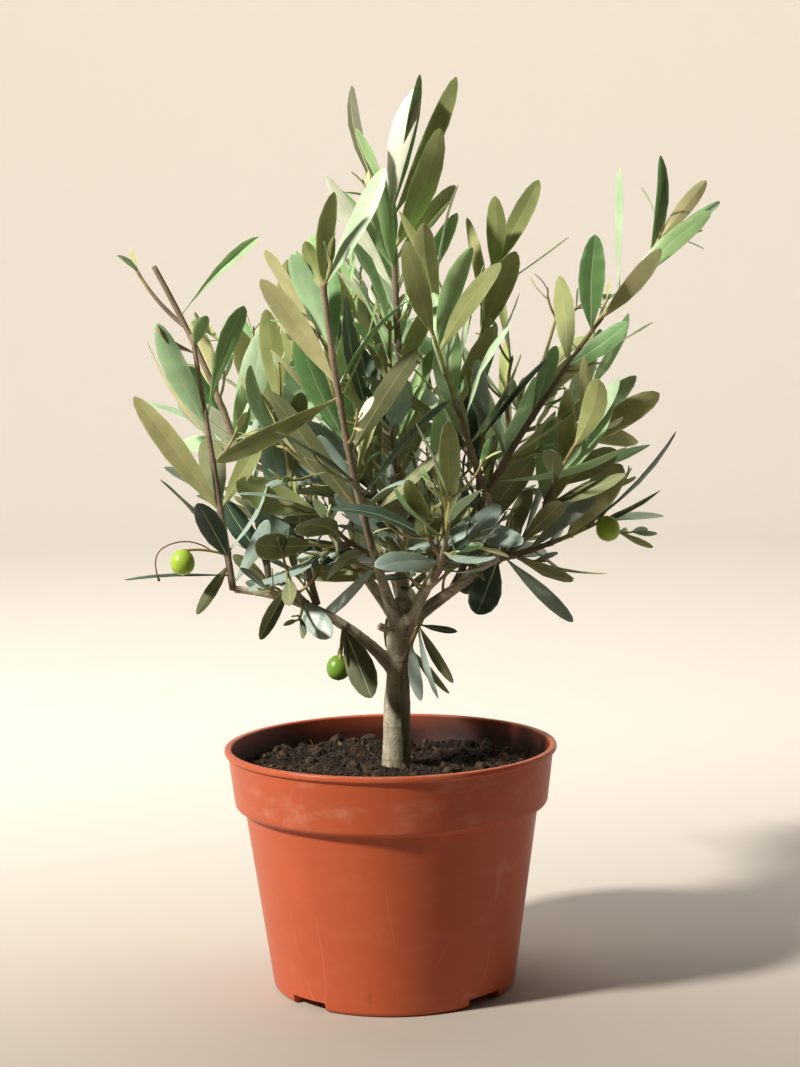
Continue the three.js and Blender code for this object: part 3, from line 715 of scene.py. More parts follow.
def bark_finish(name, pale, dark, algae):
    """Thin grey bark. The furrow attribute darkens its creases with painted shade, and algae greens the damp
    side low down.
    """
    finish = Finish(name, Roughness=0.82)
    furrow = finish.add("ShaderNodeAttribute", {"attribute_name": "furrow"}, output="Fac")
    patch = finish.noise(70, 5.0, 0.6, finish.place((1, 1, 0.5)))
    base = finish.blend(patch.step(0.32, 0.66), colour(dark), colour(pale))
    # Painted shade: the bark is darker in its creases.
    base = finish.blend(furrow.step(0.46, 0.24) * 0.55, base, colour("4a4234"))
    pores = finish.noise(640, 2.0, 0.5, finish.place((1, 1, 2.4)))
    base = finish.blend(pores.step(0.64, 0.72) * 0.6, base, colour("c9c0a8"))
    specks = finish.noise(880, 3.0, 0.6, finish.place((1, 1, 1.8)))
    base = finish.blend(specks.step(0.44, 0.34) * 0.6, base, colour("4b4335"))
    cracks = finish.noise(170, 4.0, 0.6, finish.place((1, 1, 3.6)))
    base = finish.blend(cracks.step(0.42, 0.36) * 0.45, base, colour("5a5040"))
    if algae:
        level = finish.along("Z")
        damp = finish.along("X").step(-0.008, 0.008) * level.step(0.2, 0.14) * patch.step(0.25, 0.5)
        base = finish.blend(damp * 0.8, base, colour("4e5529"))
        splash = level.step(0.15, 0.127) * patch.step(0.7, 0.3)
        base = finish.blend(splash * 0.75, base, colour("4c452a"))
    finish.feed(Base_Color=base)
    finish.relief(finish.noise(420, 6.0, 0.7, finish.place((1, 1, 0.45))), 0.0006, 0.8)
    return finish.material


bark_skin.data.materials.append(bark_finish("olive_bark", "d2cab6", "a39b86", True))
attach(bark_skin, "root")
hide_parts("trunk", *boughs)

# ------------------------------------------------------------------ how the foliage grows
# Twigs of one to two summers stand on the boughs. Each bears leaves in opposite pairs, every pair a quarter
# turn on from the last. One seeded rule sets them all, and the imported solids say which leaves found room.
leaf_width_share = 0.235
leaf_sunk = 0.5 * mm
twig_butt, twig_tip, short_butt = 2.1 * mm, 0.9 * mm, 0.95 * mm
side_twig_butt = 0.7 * twig_butt
side_twig_share = 0.42  # how long a side twig is, as a share of its stem
pair_gap, short_pair_gap = 16 * mm, 8 * mm


class Mass:
    """One mass of foliage, in millimetres and degrees.

    stem: where it starts, a point it bends towards, its end. pairs: leaf pairs on it. leaf: length of its
    longest leaves. spread: how far leaves lean out. phase: which way the first pair points. droop: how much
    leaves sink. twigs: side twigs by the rule. leafy: the share of the stem with pairs. outer: leaves set
    one by one, as where on the stem, bearing, rise, length, width and turn from the front. forks: twigs set
    one by one, as where, bearing, rise and length. olives: where on the stem, and how far away the fruit is.
    """

    def __init__(self, stem, pairs, leaf, spread, phase, seed, droop=0, twigs=0, leafy=1,
                 outer=(), forks=(), olives=()):
        self.stem = Arc(stem)
        self.pairs, self.leaf, self.spread, self.phase, self.seed = pairs, leaf * mm, spread, phase, seed
        self.droop, self.twigs, self.leafy = droop, twigs, leafy
        self.outer, self.forks, self.olives = outer, forks, olives

    def fruit(self):
        """Where each olive's stalk leaves the stem, and the middle of the olive."""
        return [(self.stem.point(t), self.stem.point(t) + Vector(offset) * mm) for t, *offset in self.olives]


masses = {
    "foliage_west_outer": Mass(
        stem=[(-87, -14, 231), (-94, -20, 290), (-106, -16, 374)],
        pairs=5, leaf=56, spread=33, phase=0, droop=0.02, seed=11,
        outer=[(0.34, -161, 54, 82, 14, 180), (0.68, -161, 65, 64, 14, 0), (0.69, -26, 72, 79, 12, 20),
               (0.64, 174, 54, 64, 7, 110), (0.28, -145, 64, 50, 11, 10), (0.15, -123, 52, 44, 14, 0),
               (0.12, -143, -50, 35, 7, 180), (0.07, -163, 7, 61, 5, 90), (0.96, -43, 58, 21, 8, 20)],
        olives=[(0.16, -24, -14, -2)]),
    "foliage_west_inner": Mass(
        stem=[(-66, -12, 229), (-76, 24, 310), (-130, 18, 413)],
        pairs=5, leaf=56, spread=38, phase=60, droop=0.05, seed=12, leafy=0.62,
        outer=[(0.86, -16, 43, 70, 10, 10), (0.47, -75, 56, 42, 10, 10), (0.48, 31, 73, 69, 17, 0)],
        forks=[(0.83, 178, 50, 42)]),
    "foliage_front_west": Mass(
        stem=[(-8, -38, 256), (-22, -64, 310), (-31, -70, 400)],
        pairs=6, leaf=60, spread=38, phase=30, seed=13,
        outer=[(0.98, -13, 60, 72, 15, -42), (0.97, 149, 68, 30, 9, 180), (0.79, 175, 69, 56, 15, -25),
               (0.67, -174, 56, 71, 13, 170), (0.67, -23, 56, 64, 6, 70), (0.64, -168, -26, 75, 11, 160),
               (0.42, -20, 55, 69, 12, 185), (0.15, -162, 54, 87, 13, 180), (0.23, -27, 51, 79, 9, 60),
               (0.13, -33, 43, 66, 9, 130)]),
    "foliage_leader_top": Mass(
        stem=[(9, 4, 330), (8, 2, 385), (6, 0, 440)],
        pairs=6, leaf=56, spread=30, phase=20, seed=14,
        outer=[(0.99, -45, 79, 74, 15, -34), (0.97, 12, 64, 87, 11, 180), (0.81, -30, 64, 73, 16, 204),
               (0.98, 173, 67, 83, 10, 150), (0.95, 23, 56, 92, 5, 90), (0.75, 15, 50, 60, 10, 180),
               (0.71, 155, 58, 62, 9, 40), (0.69, -110, 74, 55, 9, 20)]),
    "foliage_east_front": Mass(
        stem=[(54, -34, 286), (44, -48, 320), (27, -56, 372)],
        pairs=6, leaf=58, spread=36, phase=0, twigs=1, seed=15,
        outer=[(0.92, -22, 73, 60, 12, 20), (0.9, -32, 52, 60, 11, 170)]),
    "foliage_east_sweep": Mass(
        stem=[(56, -33, 285), (84, -24, 334), (157, -2, 424)],
        pairs=5, leaf=50, spread=34, phase=10, seed=16,
        outer=[(0.95, -38, 77, 55, 9, 30), (0.97, 13, 50, 52, 9, 175), (0.83, -12, 42, 66, 12, -20),
               (0.82, 44, 82, 70, 5, -66), (0.69, -79, 79, 54, 15, 0), (0.7, 19, 52, 48, 9, 170),
               (0.56, -22, 32, 45, 12, -20), (0.57, 111, 81, 50, 14, 142)]),
    "foliage_low_east": Mass(
        stem=[(61, -19, 246), (88, -8, 250), (121, 2, 264)],
        pairs=5, leaf=44, spread=50, phase=30, droop=0.05, seed=17,
        outer=[(0.93, -26, 48, 36, 15, 180), (0.95, 3, 23, 43, 7, 110), (0.83, 8, 39, 80, 6, 70),
               (0.2, -9, -14, 53, 6, 100), (0.09, -22, -40, 54, 9, 20)],
        olives=[(0.72, 22, -3, 4)]),
    "foliage_far_east": Mass(
        stem=[(50, -15, 239), (88, 2, 250), (112, -12, 316)],
        pairs=5, leaf=52, spread=36, phase=50, twigs=1, seed=18,
        outer=[(0.94, 11, 50, 51, 12, 10), (0.92, -10, 34, 56, 14, 180), (0.74, -24, 32, 40, 14, 180),
               (0.77, -85, 71, 57, 11, 170)]),
    "foliage_north_east": Mass(
        stem=[(10, 5, 262), (44, 14, 300), (63, 15, 408)],
        pairs=7, leaf=58, spread=35, phase=0, twigs=1, seed=19,
        outer=[(0.99, -73, 73, 36, 10, -35), (0.99, -13, 62, 59, 13, 180), (0.94, 17, 35, 58, 5, 90)]),
    "foliage_centre_west": Mass(
        stem=[(8, 4, 262), (-18, 8, 290), (-38, 6, 372)],
        pairs=7, leaf=62, spread=36, phase=40, twigs=1, seed=20),
    "foliage_centre_front": Mass(
        stem=[(8, 2, 288), (2, -18, 320), (4, -24, 376)],
        pairs=7, leaf=58, spread=38, phase=45, twigs=1, seed=21),
    "foliage_mid_west": Mass(
        stem=[(-40, -9, 221), (-52, 2, 262), (-60, 14, 332)],
        pairs=7, leaf=60, spread=40, phase=10, droop=0.05, twigs=1, seed=31),
    "foliage_mid_east": Mass(
        stem=[(36, -11, 229), (58, 0, 262), (66, 8, 332)],
        pairs=6, leaf=58, spread=40, phase=35, droop=0.05, twigs=1, seed=32),
    "foliage_core_west": Mass(
        stem=[(7, 5, 242), (-20, -4, 248), (-37, -14, 274)],
        pairs=5, leaf=60, spread=58, phase=10, droop=0.2, twigs=1, seed=33),
    "foliage_core_east": Mass(
        stem=[(9, 3, 242), (26, -12, 254), (38, -20, 290)],
        pairs=5, leaf=60, spread=56, phase=50, droop=0.15, twigs=1, seed=34),
    "foliage_core_front": Mass(
        stem=[(10, 0, 227), (8, -20, 240), (12, -46, 268)],
        pairs=5, leaf=58, spread=58, phase=20, droop=0.2, twigs=1, seed=35),
    "foliage_back_west": Mass(
        stem=[(-38, 46, 262), (-62, 66, 300), (-84, 84, 366)],
        pairs=7, leaf=62, spread=38, phase=0, twigs=2, seed=22),
    "foliage_back_centre": Mass(
        stem=[(9, 6, 276), (4, 44, 320), (-2, 74, 398)],
        pairs=7, leaf=62, spread=36, phase=0, twigs=2, seed=23),
    "foliage_back_east": Mass(
        stem=[(52, 44, 268), (80, 62, 304), (104, 82, 382)],
        pairs=7, leaf=62, spread=38, phase=30, twigs=2, seed=24),
    "foliage_back_low": Mass(
        stem=[(10, 4, 224), (6, 46, 240), (4, 92, 276)],
        pairs=6, leaf=60, spread=48, phase=20, droop=0.15, twigs=1, seed=25),
    "foliage_front_low": Mass(
        stem=[(26, -50, 240), (32, -72, 252), (34, -88, 286)],
        pairs=6, leaf=58, spread=46, phase=20, droop=0.1, twigs=1, seed=26),
    "foliage_low_west": Mass(
        stem=[(-46, -10, 222), (-50, -24, 226), (-54, -40, 240)],
        pairs=3, leaf=40, spread=60, phase=10, droop=0.3, seed=27,
        outer=[(0.87, -135, -52, 37, 9, 160), (0.24, -47, -38, 32, 14, 0)]),
    "foliage_low_hanging": Mass(
        stem=[(-24, -7, 209), (-26, -14, 203), (-27, -18, 194)],
        pairs=1, leaf=26, spread=70, phase=20, droop=0.2, seed=29,
        outer=[(0.2, -45, -60, 43, 17, 10)],
        olives=[(0.9, -2, 8, -11)]),
    "foliage_trunk_spray": Mass(
        stem=[(9, -8, 188), (12, -14, 199), (18, -16, 210)],
        pairs=2, leaf=36, spread=75, phase=60, droop=1.1, seed=28,
        outer=[(0.5, -70, -70, 34, 8, 20), (0.9, -40, -72, 42, 8, 60), (0.95, -10, -60, 38, 7, 150)]),
}


def seeded(seed):
    """Numbers from 0 to 1 that depend only on the seed."""
    state = (seed * 7919 + 104729) % 2147483647

    def draw():
        nonlocal state
        state = state * 48271 % 2147483647
        return state / 2147483647

    for _ in range(4):
        draw()
    return draw


def heading(bearing, rise):
    """A direction from its bearing, counted from +X towards +Y, and its rise above level."""
    b, r = math.radians(bearing), math.radians(rise)
    return Vector((math.cos(r) * math.cos(b), math.cos(r) * math.sin(b), math.sin(r)))


def outward(curve, t, turn):
    """The direction of a stem at t, and one square to it, turned round the stem by an angle."""
    tangent = curve.tangent(t)
    sizes = [abs(c) for c in tangent]
    least = Vector((0, 0, 0))
    least[sizes.index(min(sizes))] = 1
    first = tangent.cross(least).normalized()
    return tangent, first * math.cos(turn) + tangent.cross(first) * math.sin(turn)


class Leaf:
    """Where one leaf sits, and how its blade bows, bends sideways and twists."""

    def __init__(self, root, along, face, length, width, draw):
        self.along = along
        self.upper = (face - along * face.dot(along)).normalized()
        self.across = self.upper.cross(along)
        self.root = root - along * leaf_sunk
        self.length, self.width = length, width
        self.bow = -0.08 + 0.3 * draw()
        self.sickle = (draw() - 0.5) * 0.3
        self.twist = (draw() - 0.5) * 0.9

    def spot(self, t, side=0.0):
        """A place on the blade: t along it, side from -1 to 1 across it."""
        bend = self.length * t * (1 - t)
        across = self.sickle * bend + side * self.width / 2
        rise = self.bow * bend
        return self.root + self.along * (self.length * t) + self.upper * rise + self.across * across

    def samples(self, shares, sides):
        """Places all over the blade."""
        return [self.spot(t, side) for t in shares for side in sides]

    def turn_over(self):
        """Swaps the upper and the under face, with the blade's shape kept."""
        self.upper, self.across = -self.upper, -self.across
        self.bow, self.sickle = -self.bow, -self.sickle


class Twig:
    """One twig of a mass: its curve, its butt radius, where its leaf pairs stand, and its leaves."""

    def __init__(self, name, curve, butt, joints, leaves, is_stem=False):
        self.name, self.mass, self.curve, self.butt = name, masses[name], curve, butt
        self.joints, self.leaves, self.is_stem = joints, leaves, is_stem
        self.set_count = len(self.mass.outer) if is_stem else 0  # its first leaves are those set one by one


def outer_leaf(curve, spec, draw):
    """A leaf of the crown's outline. Its face is turned from the front, round its own length."""
    t, bearing, rise, length, width, turn = spec
    along = heading(bearing, rise)
    front = Vector((0, -1, 0))
    face = (front - along * front.dot(along)).normalized()
    face.rotate(Quaternion(along, math.radians(turn)))
    return Leaf(curve.point(t), along, face, length * mm, width * mm, draw)


def pair_leaf(curve, t, angle, spread, length, droop, draw):
    """A leaf of a pair, pointing angle degrees round the stem and leaning out by spread degrees."""
    turn = math.radians(angle + (draw() - 0.5) * 30)
    lean = math.radians(spread + (draw() - 0.5) * 16)
    tangent, out = outward(curve, t, turn)
    along = tangent * math.cos(lean) + out * math.sin(lean)
    along.z -= droop * (0.6 + 0.8 * draw())
    along.normalize()
    face = tangent * math.sin(lean) - out * math.cos(lean)
    face.z += 0.35 * draw()
    size = length * (0.86 + 0.22 * draw())
    width = size * leaf_width_share * (0.85 + 0.35 * draw())
    return Leaf(curve.point(t), along, face, size, width, draw)


def side_twigs(mass):
    """The set twigs of a mass, then those that leave the stem by the golden angle and turn up."""
    curve, twigs = mass.stem, []
    for t, bearing, rise, length in mass.forks:
        start, length = curve.point(t), length * mm
        twigs.append(Arc([start, start + heading(bearing, rise - 12) * length / 2,
                          start + heading(bearing, rise) * length], 1))
    for i in range(mass.twigs):
        draw = seeded(mass.seed * 1000 + i)
        t = 0.2 + 0.5 * (i + draw()) / mass.twigs
        tangent, out = outward(curve, t, math.radians(mass.phase + 137.5 * i + 40 * draw()))
        reach = curve.length() * side_twig_share * (0.8 + 0.5 * draw())
        start = curve.point(t)
        twigs.append(Arc([start, start + tangent * 0.25 * reach + out * 0.42 * reach,
                          start + tangent * 0.8 * reach + out * 0.6 * reach], 1))
    return twigs


# How near a packed point stands to the tip of a leaf, or to the end of a twig, that found room.
tip_reach, twig_end_reach = 0.06 * mm, 1.5 * mm


def pairs_on(curve, pairs, longest, mass, leafy, seed, stands):
    """The leaves of one twig: of each leaf's five tries, the one that the solid holds."""
    leaves, joints = [], []
    for k in range(pairs):
        share = (k + 0.6) / pairs
        t = leafy * (0.99 if k == pairs - 1 else 0.06 + 0.93 * share)
        joints.append(t)
        spread = mass.spread * (1.25 - 0.85 * share)
        length = longest * (0.72 + 0.5 * math.sin(math.pi * (0.15 + 0.6 * share)) - 0.2 * share)
        for side in (0, 180):
            for attempt in range(5):
                draw = seeded(seed + k * 20 + side // 18 + attempt)  # ten seeds for each leaf of a pair
                angle = mass.phase + 90 * k + side + 22 * attempt * (1 if side else -1)
                leaf = pair_leaf(curve, t, angle, spread + 4 * attempt, length, mass.droop, draw)
                if stands(leaf.spot(1), tip_reach):
                    leaves.append(leaf)
                    break
    return leaves, joints


def packed_points(node):
    """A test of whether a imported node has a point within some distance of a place."""
    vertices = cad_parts[node].data.vertices
    tree = KDTree(len(vertices))
    for k, vertex in enumerate(vertices):
        tree.insert(vertex.co, k)
    tree.balance()
    return lambda place, reach: tree.find(place)[2] < reach


grown = []
for name, mass in masses.items():
    stands = packed_points(name)
    outer = [outer_leaf(mass.stem, spec, seeded(mass.seed * 100 + i)) for i, spec in enumerate(mass.outer)]
    outer = [leaf for leaf in outer if stands(leaf.spot(1), tip_reach)]
    leaves, joints = pairs_on(mass.stem, mass.pairs, mass.leaf, mass, mass.leafy, mass.seed * 10000, stands)
    grown.append(Twig(name, mass.stem, twig_butt, joints, outer + leaves, True))
    curves = [curve for curve in side_twigs(mass) if stands(curve.end, twig_end_reach)]
    for i, curve in enumerate(curves):
        is_fork = i < len(mass.forks)
        pairs = 1 if is_fork else max(3, round(curve.length() / pair_gap))
        longest = curve.length() * 0.35 if is_fork else mass.leaf
        leaves, joints = pairs_on(curve, pairs, longest, mass, 1, mass.seed * 10000 + (i + 1) * 1000, stands)
        grown.append(Twig(name, curve, side_twig_butt, joints, leaves))


class Crowd:
    """Points of all that has grown so far, kept in small cells."""

    def __init__(self, gap):
        self.gap = gap
        self.cells = {}

    def cell(self, point):
        return tuple(math.floor(c / self.gap) for c in point)

    def add(self, points):
        for point in points:
            self.cells.setdefault(self.cell(point), []).append(point)

    def is_near(self, points):
        """Whether one of the points is nearer than the gap to a point of the crowd."""
        steps = [(i, j, k) for i in (-1, 0, 1) for j in (-1, 0, 1) for k in (-1, 0, 1)]
        for point in points:
            x, y, z = self.cell(point)
            for i, j, k in steps:
                for other in self.cells.get((x + i, y + j, z + k), ()):
                    if (other - point).length < self.gap:
                        return True
        return False


def blade_samples(leaf, first=0.25):
    """Places on a blade, from some way up its stalk to its tip."""
    return leaf.samples([first + (1 - first) * k / 7 for k in range(8)], (-0.7, 0, 0.7))


leaf_gap = 2.4 * mm  # a short shoot's leaf needs this much room round it
crowd = Crowd(leaf_gap)
for twig in grown:
    crowd.add([twig.curve.point(k / 40) for k in range(41)])
    for leaf in twig.leaves:
        crowd.add(blade_samples(leaf))

# The trunk, the leading shoots and the fruit stand clear at the front, as the grower thins what hides them.
# Each leading shoot is clear between two shares of its length.
clear_stems = {"foliage_west_outer": (0, 1), "foliage_west_inner": (0.4, 1), "foliage_front_west": (0, 1),
               "foliage_east_front": (0.1, 0.95), "foliage_east_sweep": (0.1, 0.75),
               "foliage_leader_top": (0.3, 1)}
stem_clearance, fruit_clearance, trunk_clearance = 2.2 * mm, 8.5 * mm, 5 * mm


def from_front(point):
    """Where a place appears from the front, at the scale of the trunk's plane."""
    scale = camera_place[1] / (camera_place[1] - point.y)
    return Vector((point.x * scale, (point.z - camera_place[2]) * scale))


guarded = []  # rows of where a place appears, how deep it lies, and how far round it stays clear
for name, (first, last) in clear_stems.items():
    places = [masses[name].stem.point(first + (last - first) * k / 60) for k in range(61)]
    guarded += [(from_front(place), place.y, stem_clearance) for place in places]
for mass in masses.values():
    guarded += [(from_front(middle), middle.y, fruit_clearance) for root, middle in mass.fruit()]
places = [Arc(trunk_line).point(k / 40) for k in range(41)]
guarded += [(from_front(place), place.y, trunk_clearance) for place in places]

# Here and there the crown is open and the sky shows through: middle across and up, and radius of each gap.
sky_gaps = [
    (-89, 384, 9), (-84, 402, 9), (-68, 415, 10), (-93, 361, 7), (-92, 336, 7), (-56, 345, 8),
    (-116, 334, 8), (-114, 316, 7), (-111, 322, 5), (-104, 396, 8), (-44, 437, 14), (-30, 458, 8),
    (57, 432, 7), (50, 459, 10), (94, 442, 12), (106, 418, 10), (96, 414, 10), (107, 404, 7),
    (88, 378, 8), (98, 366, 6), (74, 357, 9), (60, 340, 5), (140, 384, 12), (124, 341, 8),
    (152, 345, 14), (146, 296, 7), (126, 250, 10), (-62, 246, 7), (-50, 258, 5), (-36, 229, 9),
    (-20, 232, 6), (-80, 214, 12), (-12, 222, 9), (47, 212, 13), (100, 222, 12), (76, 216, 10),
    (34, 190, 12),
]
sky_gaps = [(Vector((x, z - camera_place[2] / mm)) * mm, radius * mm) for x, z, radius in sky_gaps]
most_in_gap = 5  # of a blade's 18 samples


def hides_something(leaf):
    """Whether a leaf would fill a sky gap, or stand in front of a guarded place."""
    places = leaf.samples((0.2, 0.35, 0.5, 0.65, 0.8, 0.95), (-0.6, 0, 0.6))
    seen = [from_front(place) for place in places]
    in_gaps = [any((spot - middle).length < radius for middle, radius in sky_gaps) for spot in seen]
    if sum(in_gaps) > most_in_gap:
        return True
    for place, spot in zip(places, seen):
        for middle, depth, clearance in guarded:
            if place.y < depth and (spot - middle).length < clearance:
                return True
    return False


for twig in grown:
    by_rule = twig.leaves[twig.set_count:]
    twig.leaves[twig.set_count:] = [leaf for leaf in by_rule if not hides_something(leaf)]


overhang = 4 * mm  # how far a short shoot may stand out of its mass


def short_shoot(name, start, ahead, out, length, longest, draw):
    """A shoot of this spring with small leaves, or nothing where too few of them find room."""
    low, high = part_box(name)
    via = start + (ahead * 0.3 + out * 0.5) * length
    curve = Arc([start, via, start + (ahead * 0.75 + out * 0.65) * length], 1)
    pairs = max(1, round(length / short_pair_gap))
    leaves, joints = [], []
    for k in range(pairs):
        t = 0.4 + 0.59 * (k + 1) / pairs
        joints.append(t)
        size = longest * (1.05 - 0.5 * (k + 1) / pairs)
        for side in (0, 180):
            leaf = pair_leaf(curve, t, 90 * k + side + 40 * draw(), 52 - 26 * t, size, 0.05, draw)
            samples = blade_samples(leaf, 0.3)
            held = all(low[i] - overhang < p[i] < high[i] + overhang for p in samples for i in range(3))
            if held and not crowd.is_near(samples) and not hides_something(leaf):
                crowd.add(samples)
                leaves.append(leaf)
    return Twig(name, curve, short_butt, joints, leaves) if len(leaves) > 1 else None


fine = []  # the short shoots: first those at the leaf pairs, then those on the boughs
often, seldom = 0.8, 0.35  # how often a leaf pair has one on each side
few_shoots = {"foliage_west_outer", "foliage_west_inner", "foliage_front_west", "foliage_leader_top",
              "foliage_east_front", "foliage_east_sweep", "foliage_far_east", "foliage_north_east"}
for number, twig in enumerate(grown):
    draw = seeded(twig.mass.seed * 700 + number)
    for k, t in enumerate(twig.joints):
        for side in (0, 180):
            tangent, out = outward(twig.curve, t, math.radians(twig.mass.phase + 90 * k + side))
            length, longest = (12 + 20 * draw()) * mm, (15 + 13 * draw()) * mm
            shoot = short_shoot(twig.name, twig.curve.point(t), tangent, out, length, longest, draw)
            if shoot and draw() < (seldom if twig.name in few_shoots else often):
                fine.append(shoot)
shoots_on_bough = 14
boughs_of_masses = {
    "foliage_core_west": "bough_low_west",
    "foliage_core_east": "bough_east",
    "foliage_core_front": "bough_front",
    "foliage_back_west": "bough_back_west",
    "foliage_back_east": "bough_back_east",
    "foliage_centre_front": "bough_leader",
    "foliage_centre_west": "bough_leader",
}
for name, bough in boughs_of_masses.items():
    curve = Arc(boughs[bough][0])
    draw = seeded(masses[name].seed * 900)
    for k in range(shoots_on_bough):
        t = 0.42 + 0.56 * draw()
        tangent, out = outward(curve, t, 2.4 * k + draw())
        out.z = abs(out.z)
        length, longest = (18 + 22 * draw()) * mm, (26 + 16 * draw()) * mm
        shoot = short_shoot(name, curve.point(t), tangent, out, length, longest, draw)
        if shoot:
            fine.append(shoot)

# ------------------------------------------------------------------ twigs
# Slender shoots, grey-brown where they are a year old and yellowish green at their young ends, a little
# thicker at each leaf pair. Most end in a pointed bud. Four leading shoots were cut back and end bluntly.
twig_stock = Stock()
cut_tips = {"foliage_west_outer": 1.3, "foliage_west_inner": 1.6, "foliage_front_west": 1.7,
            "foliage_leader_top": 1.7}
old_bark, young_bark = 0, 1
end_bud, short_bud, side_bud = 4.5 * mm, 2.6 * mm, 2.0 * mm
short_tip, twig_step, swelling = 0.5 * mm, 2.4 * mm, 1.5 * mm


def add_twig(twig, tip, sides=10, old_share=0.62):
    """A twig as a tube, swollen at its leaf pairs. Past old_share of its length it has the young finish."""
    length = twig.curve.length()
    count = max(6, round(length / twig_step))
    shares = [k / count for k in range(count + 1)]
    radii = []
    for t in shares:
        swell = sum(math.exp(-(((t - joint) * length / swelling) ** 2)) for joint in twig.joints)
        radii.append((twig.butt + (tip - twig.butt) * t) * (1 + 0.25 * min(1.0, swell)))
    points, faces = tube([twig.curve.point(t) for t in shares], radii, sides)
    finish = [old_bark if k // sides < old_share * count else young_bark for k in range(count * sides)]
    finish += [old_bark] * sides + [young_bark if old_share < 1 else old_bark] * sides
    twig_stock.add(points, faces, finish)


def add_bud(point, direction, length):
    """A pointed bud with a round foot."""
    direction = direction.normalized()
    middles = [point + direction * length * t for t in (0.0, 0.35, 0.7, 1.0)]
    twig_stock.add(*tube(middles, [length * r for r in (0.2, 0.26, 0.17, 0.03)], 6), young_bark)


for twig in grown:
    if twig.is_stem and twig.name in cut_tips:
        add_twig(twig, cut_tips[twig.name] * mm, 12, 1.0)
    else:
        add_twig(twig, twig_tip)
        add_bud(twig.curve.end, twig.curve.tangent(1), end_bud)
for twig in fine:
    add_twig(twig, short_tip, 6, 0.0)
    add_bud(twig.curve.end, twig.curve.tangent(1), short_bud)
for twig in grown:  # a small bud sits over the stalk of each leaf
    for k, t in enumerate(twig.joints[:-1]):
        for side in (0, 180):
            tangent, out = outward(twig.curve, t, math.radians(twig.mass.phase + 90 * k + side + 30))
            add_bud(twig.curve.point(t) + out * twig_tip, out + tangent * 1.2, side_bud)

old_twig = bark_finish("twig_bark", "ccb69d", "9c8676", False)
young = Finish("young_twig", Roughness=0.6)
young_patch = young.noise(160, 3.0, 0.5)
young.feed(Base_Color=young.blend(young_patch.step(0.35, 0.65), colour("8f8455"), colour("a89f68")))
young.relief(young.noise(900, 3.0, 0.6), 0.0003, 0.5)
twigs = twig_stock.piece("twigs", old_twig, young.material)
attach(twigs, "root")
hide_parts(*masses)

# ------------------------------------------------------------------ leaves
# Leathery evergreen blades, widest past the middle, with a short stalk and a blunt tip. The upper face is
# half-gloss green with a pale midrib in a groove. The underside is matt olive or silvery, with a keel.
leaf_stations = np.array([0.0, 0.05, 0.16, 0.34, 0.54, 0.72, 0.87, 0.96, 1.0])
broad_outline = np.array([0.09, 0.085, 0.30, 0.70, 0.97, 0.99, 0.80, 0.47, 0.11])
slim_outline = np.array([0.09, 0.09, 0.44, 0.86, 1.0, 0.92, 0.66, 0.37, 0.08])
leaf_thickness, keel_height, groove_depth = 0.5 * mm, 0.3 * mm, 0.1 * mm
rib_share, narrowest_share = 0.05, 0.13
bend_from = 0.35
upper_finishes, under_finishes = 5, 4  # finishes 0 to 4 are upper faces, and 5 to 8 undersides
# Of these, shaded is a dark underside that is painted shade. The old ones are partly older leaves and partly
# painted shade, with a painted sky reflection in the pale bluish one.
silver, rib_finish, keel_finish, stalk_finish, dry, shaded, old_sky_sheen, old_and_shaded, old_under_shaded = range(8, 17)
stalk_rows = 1


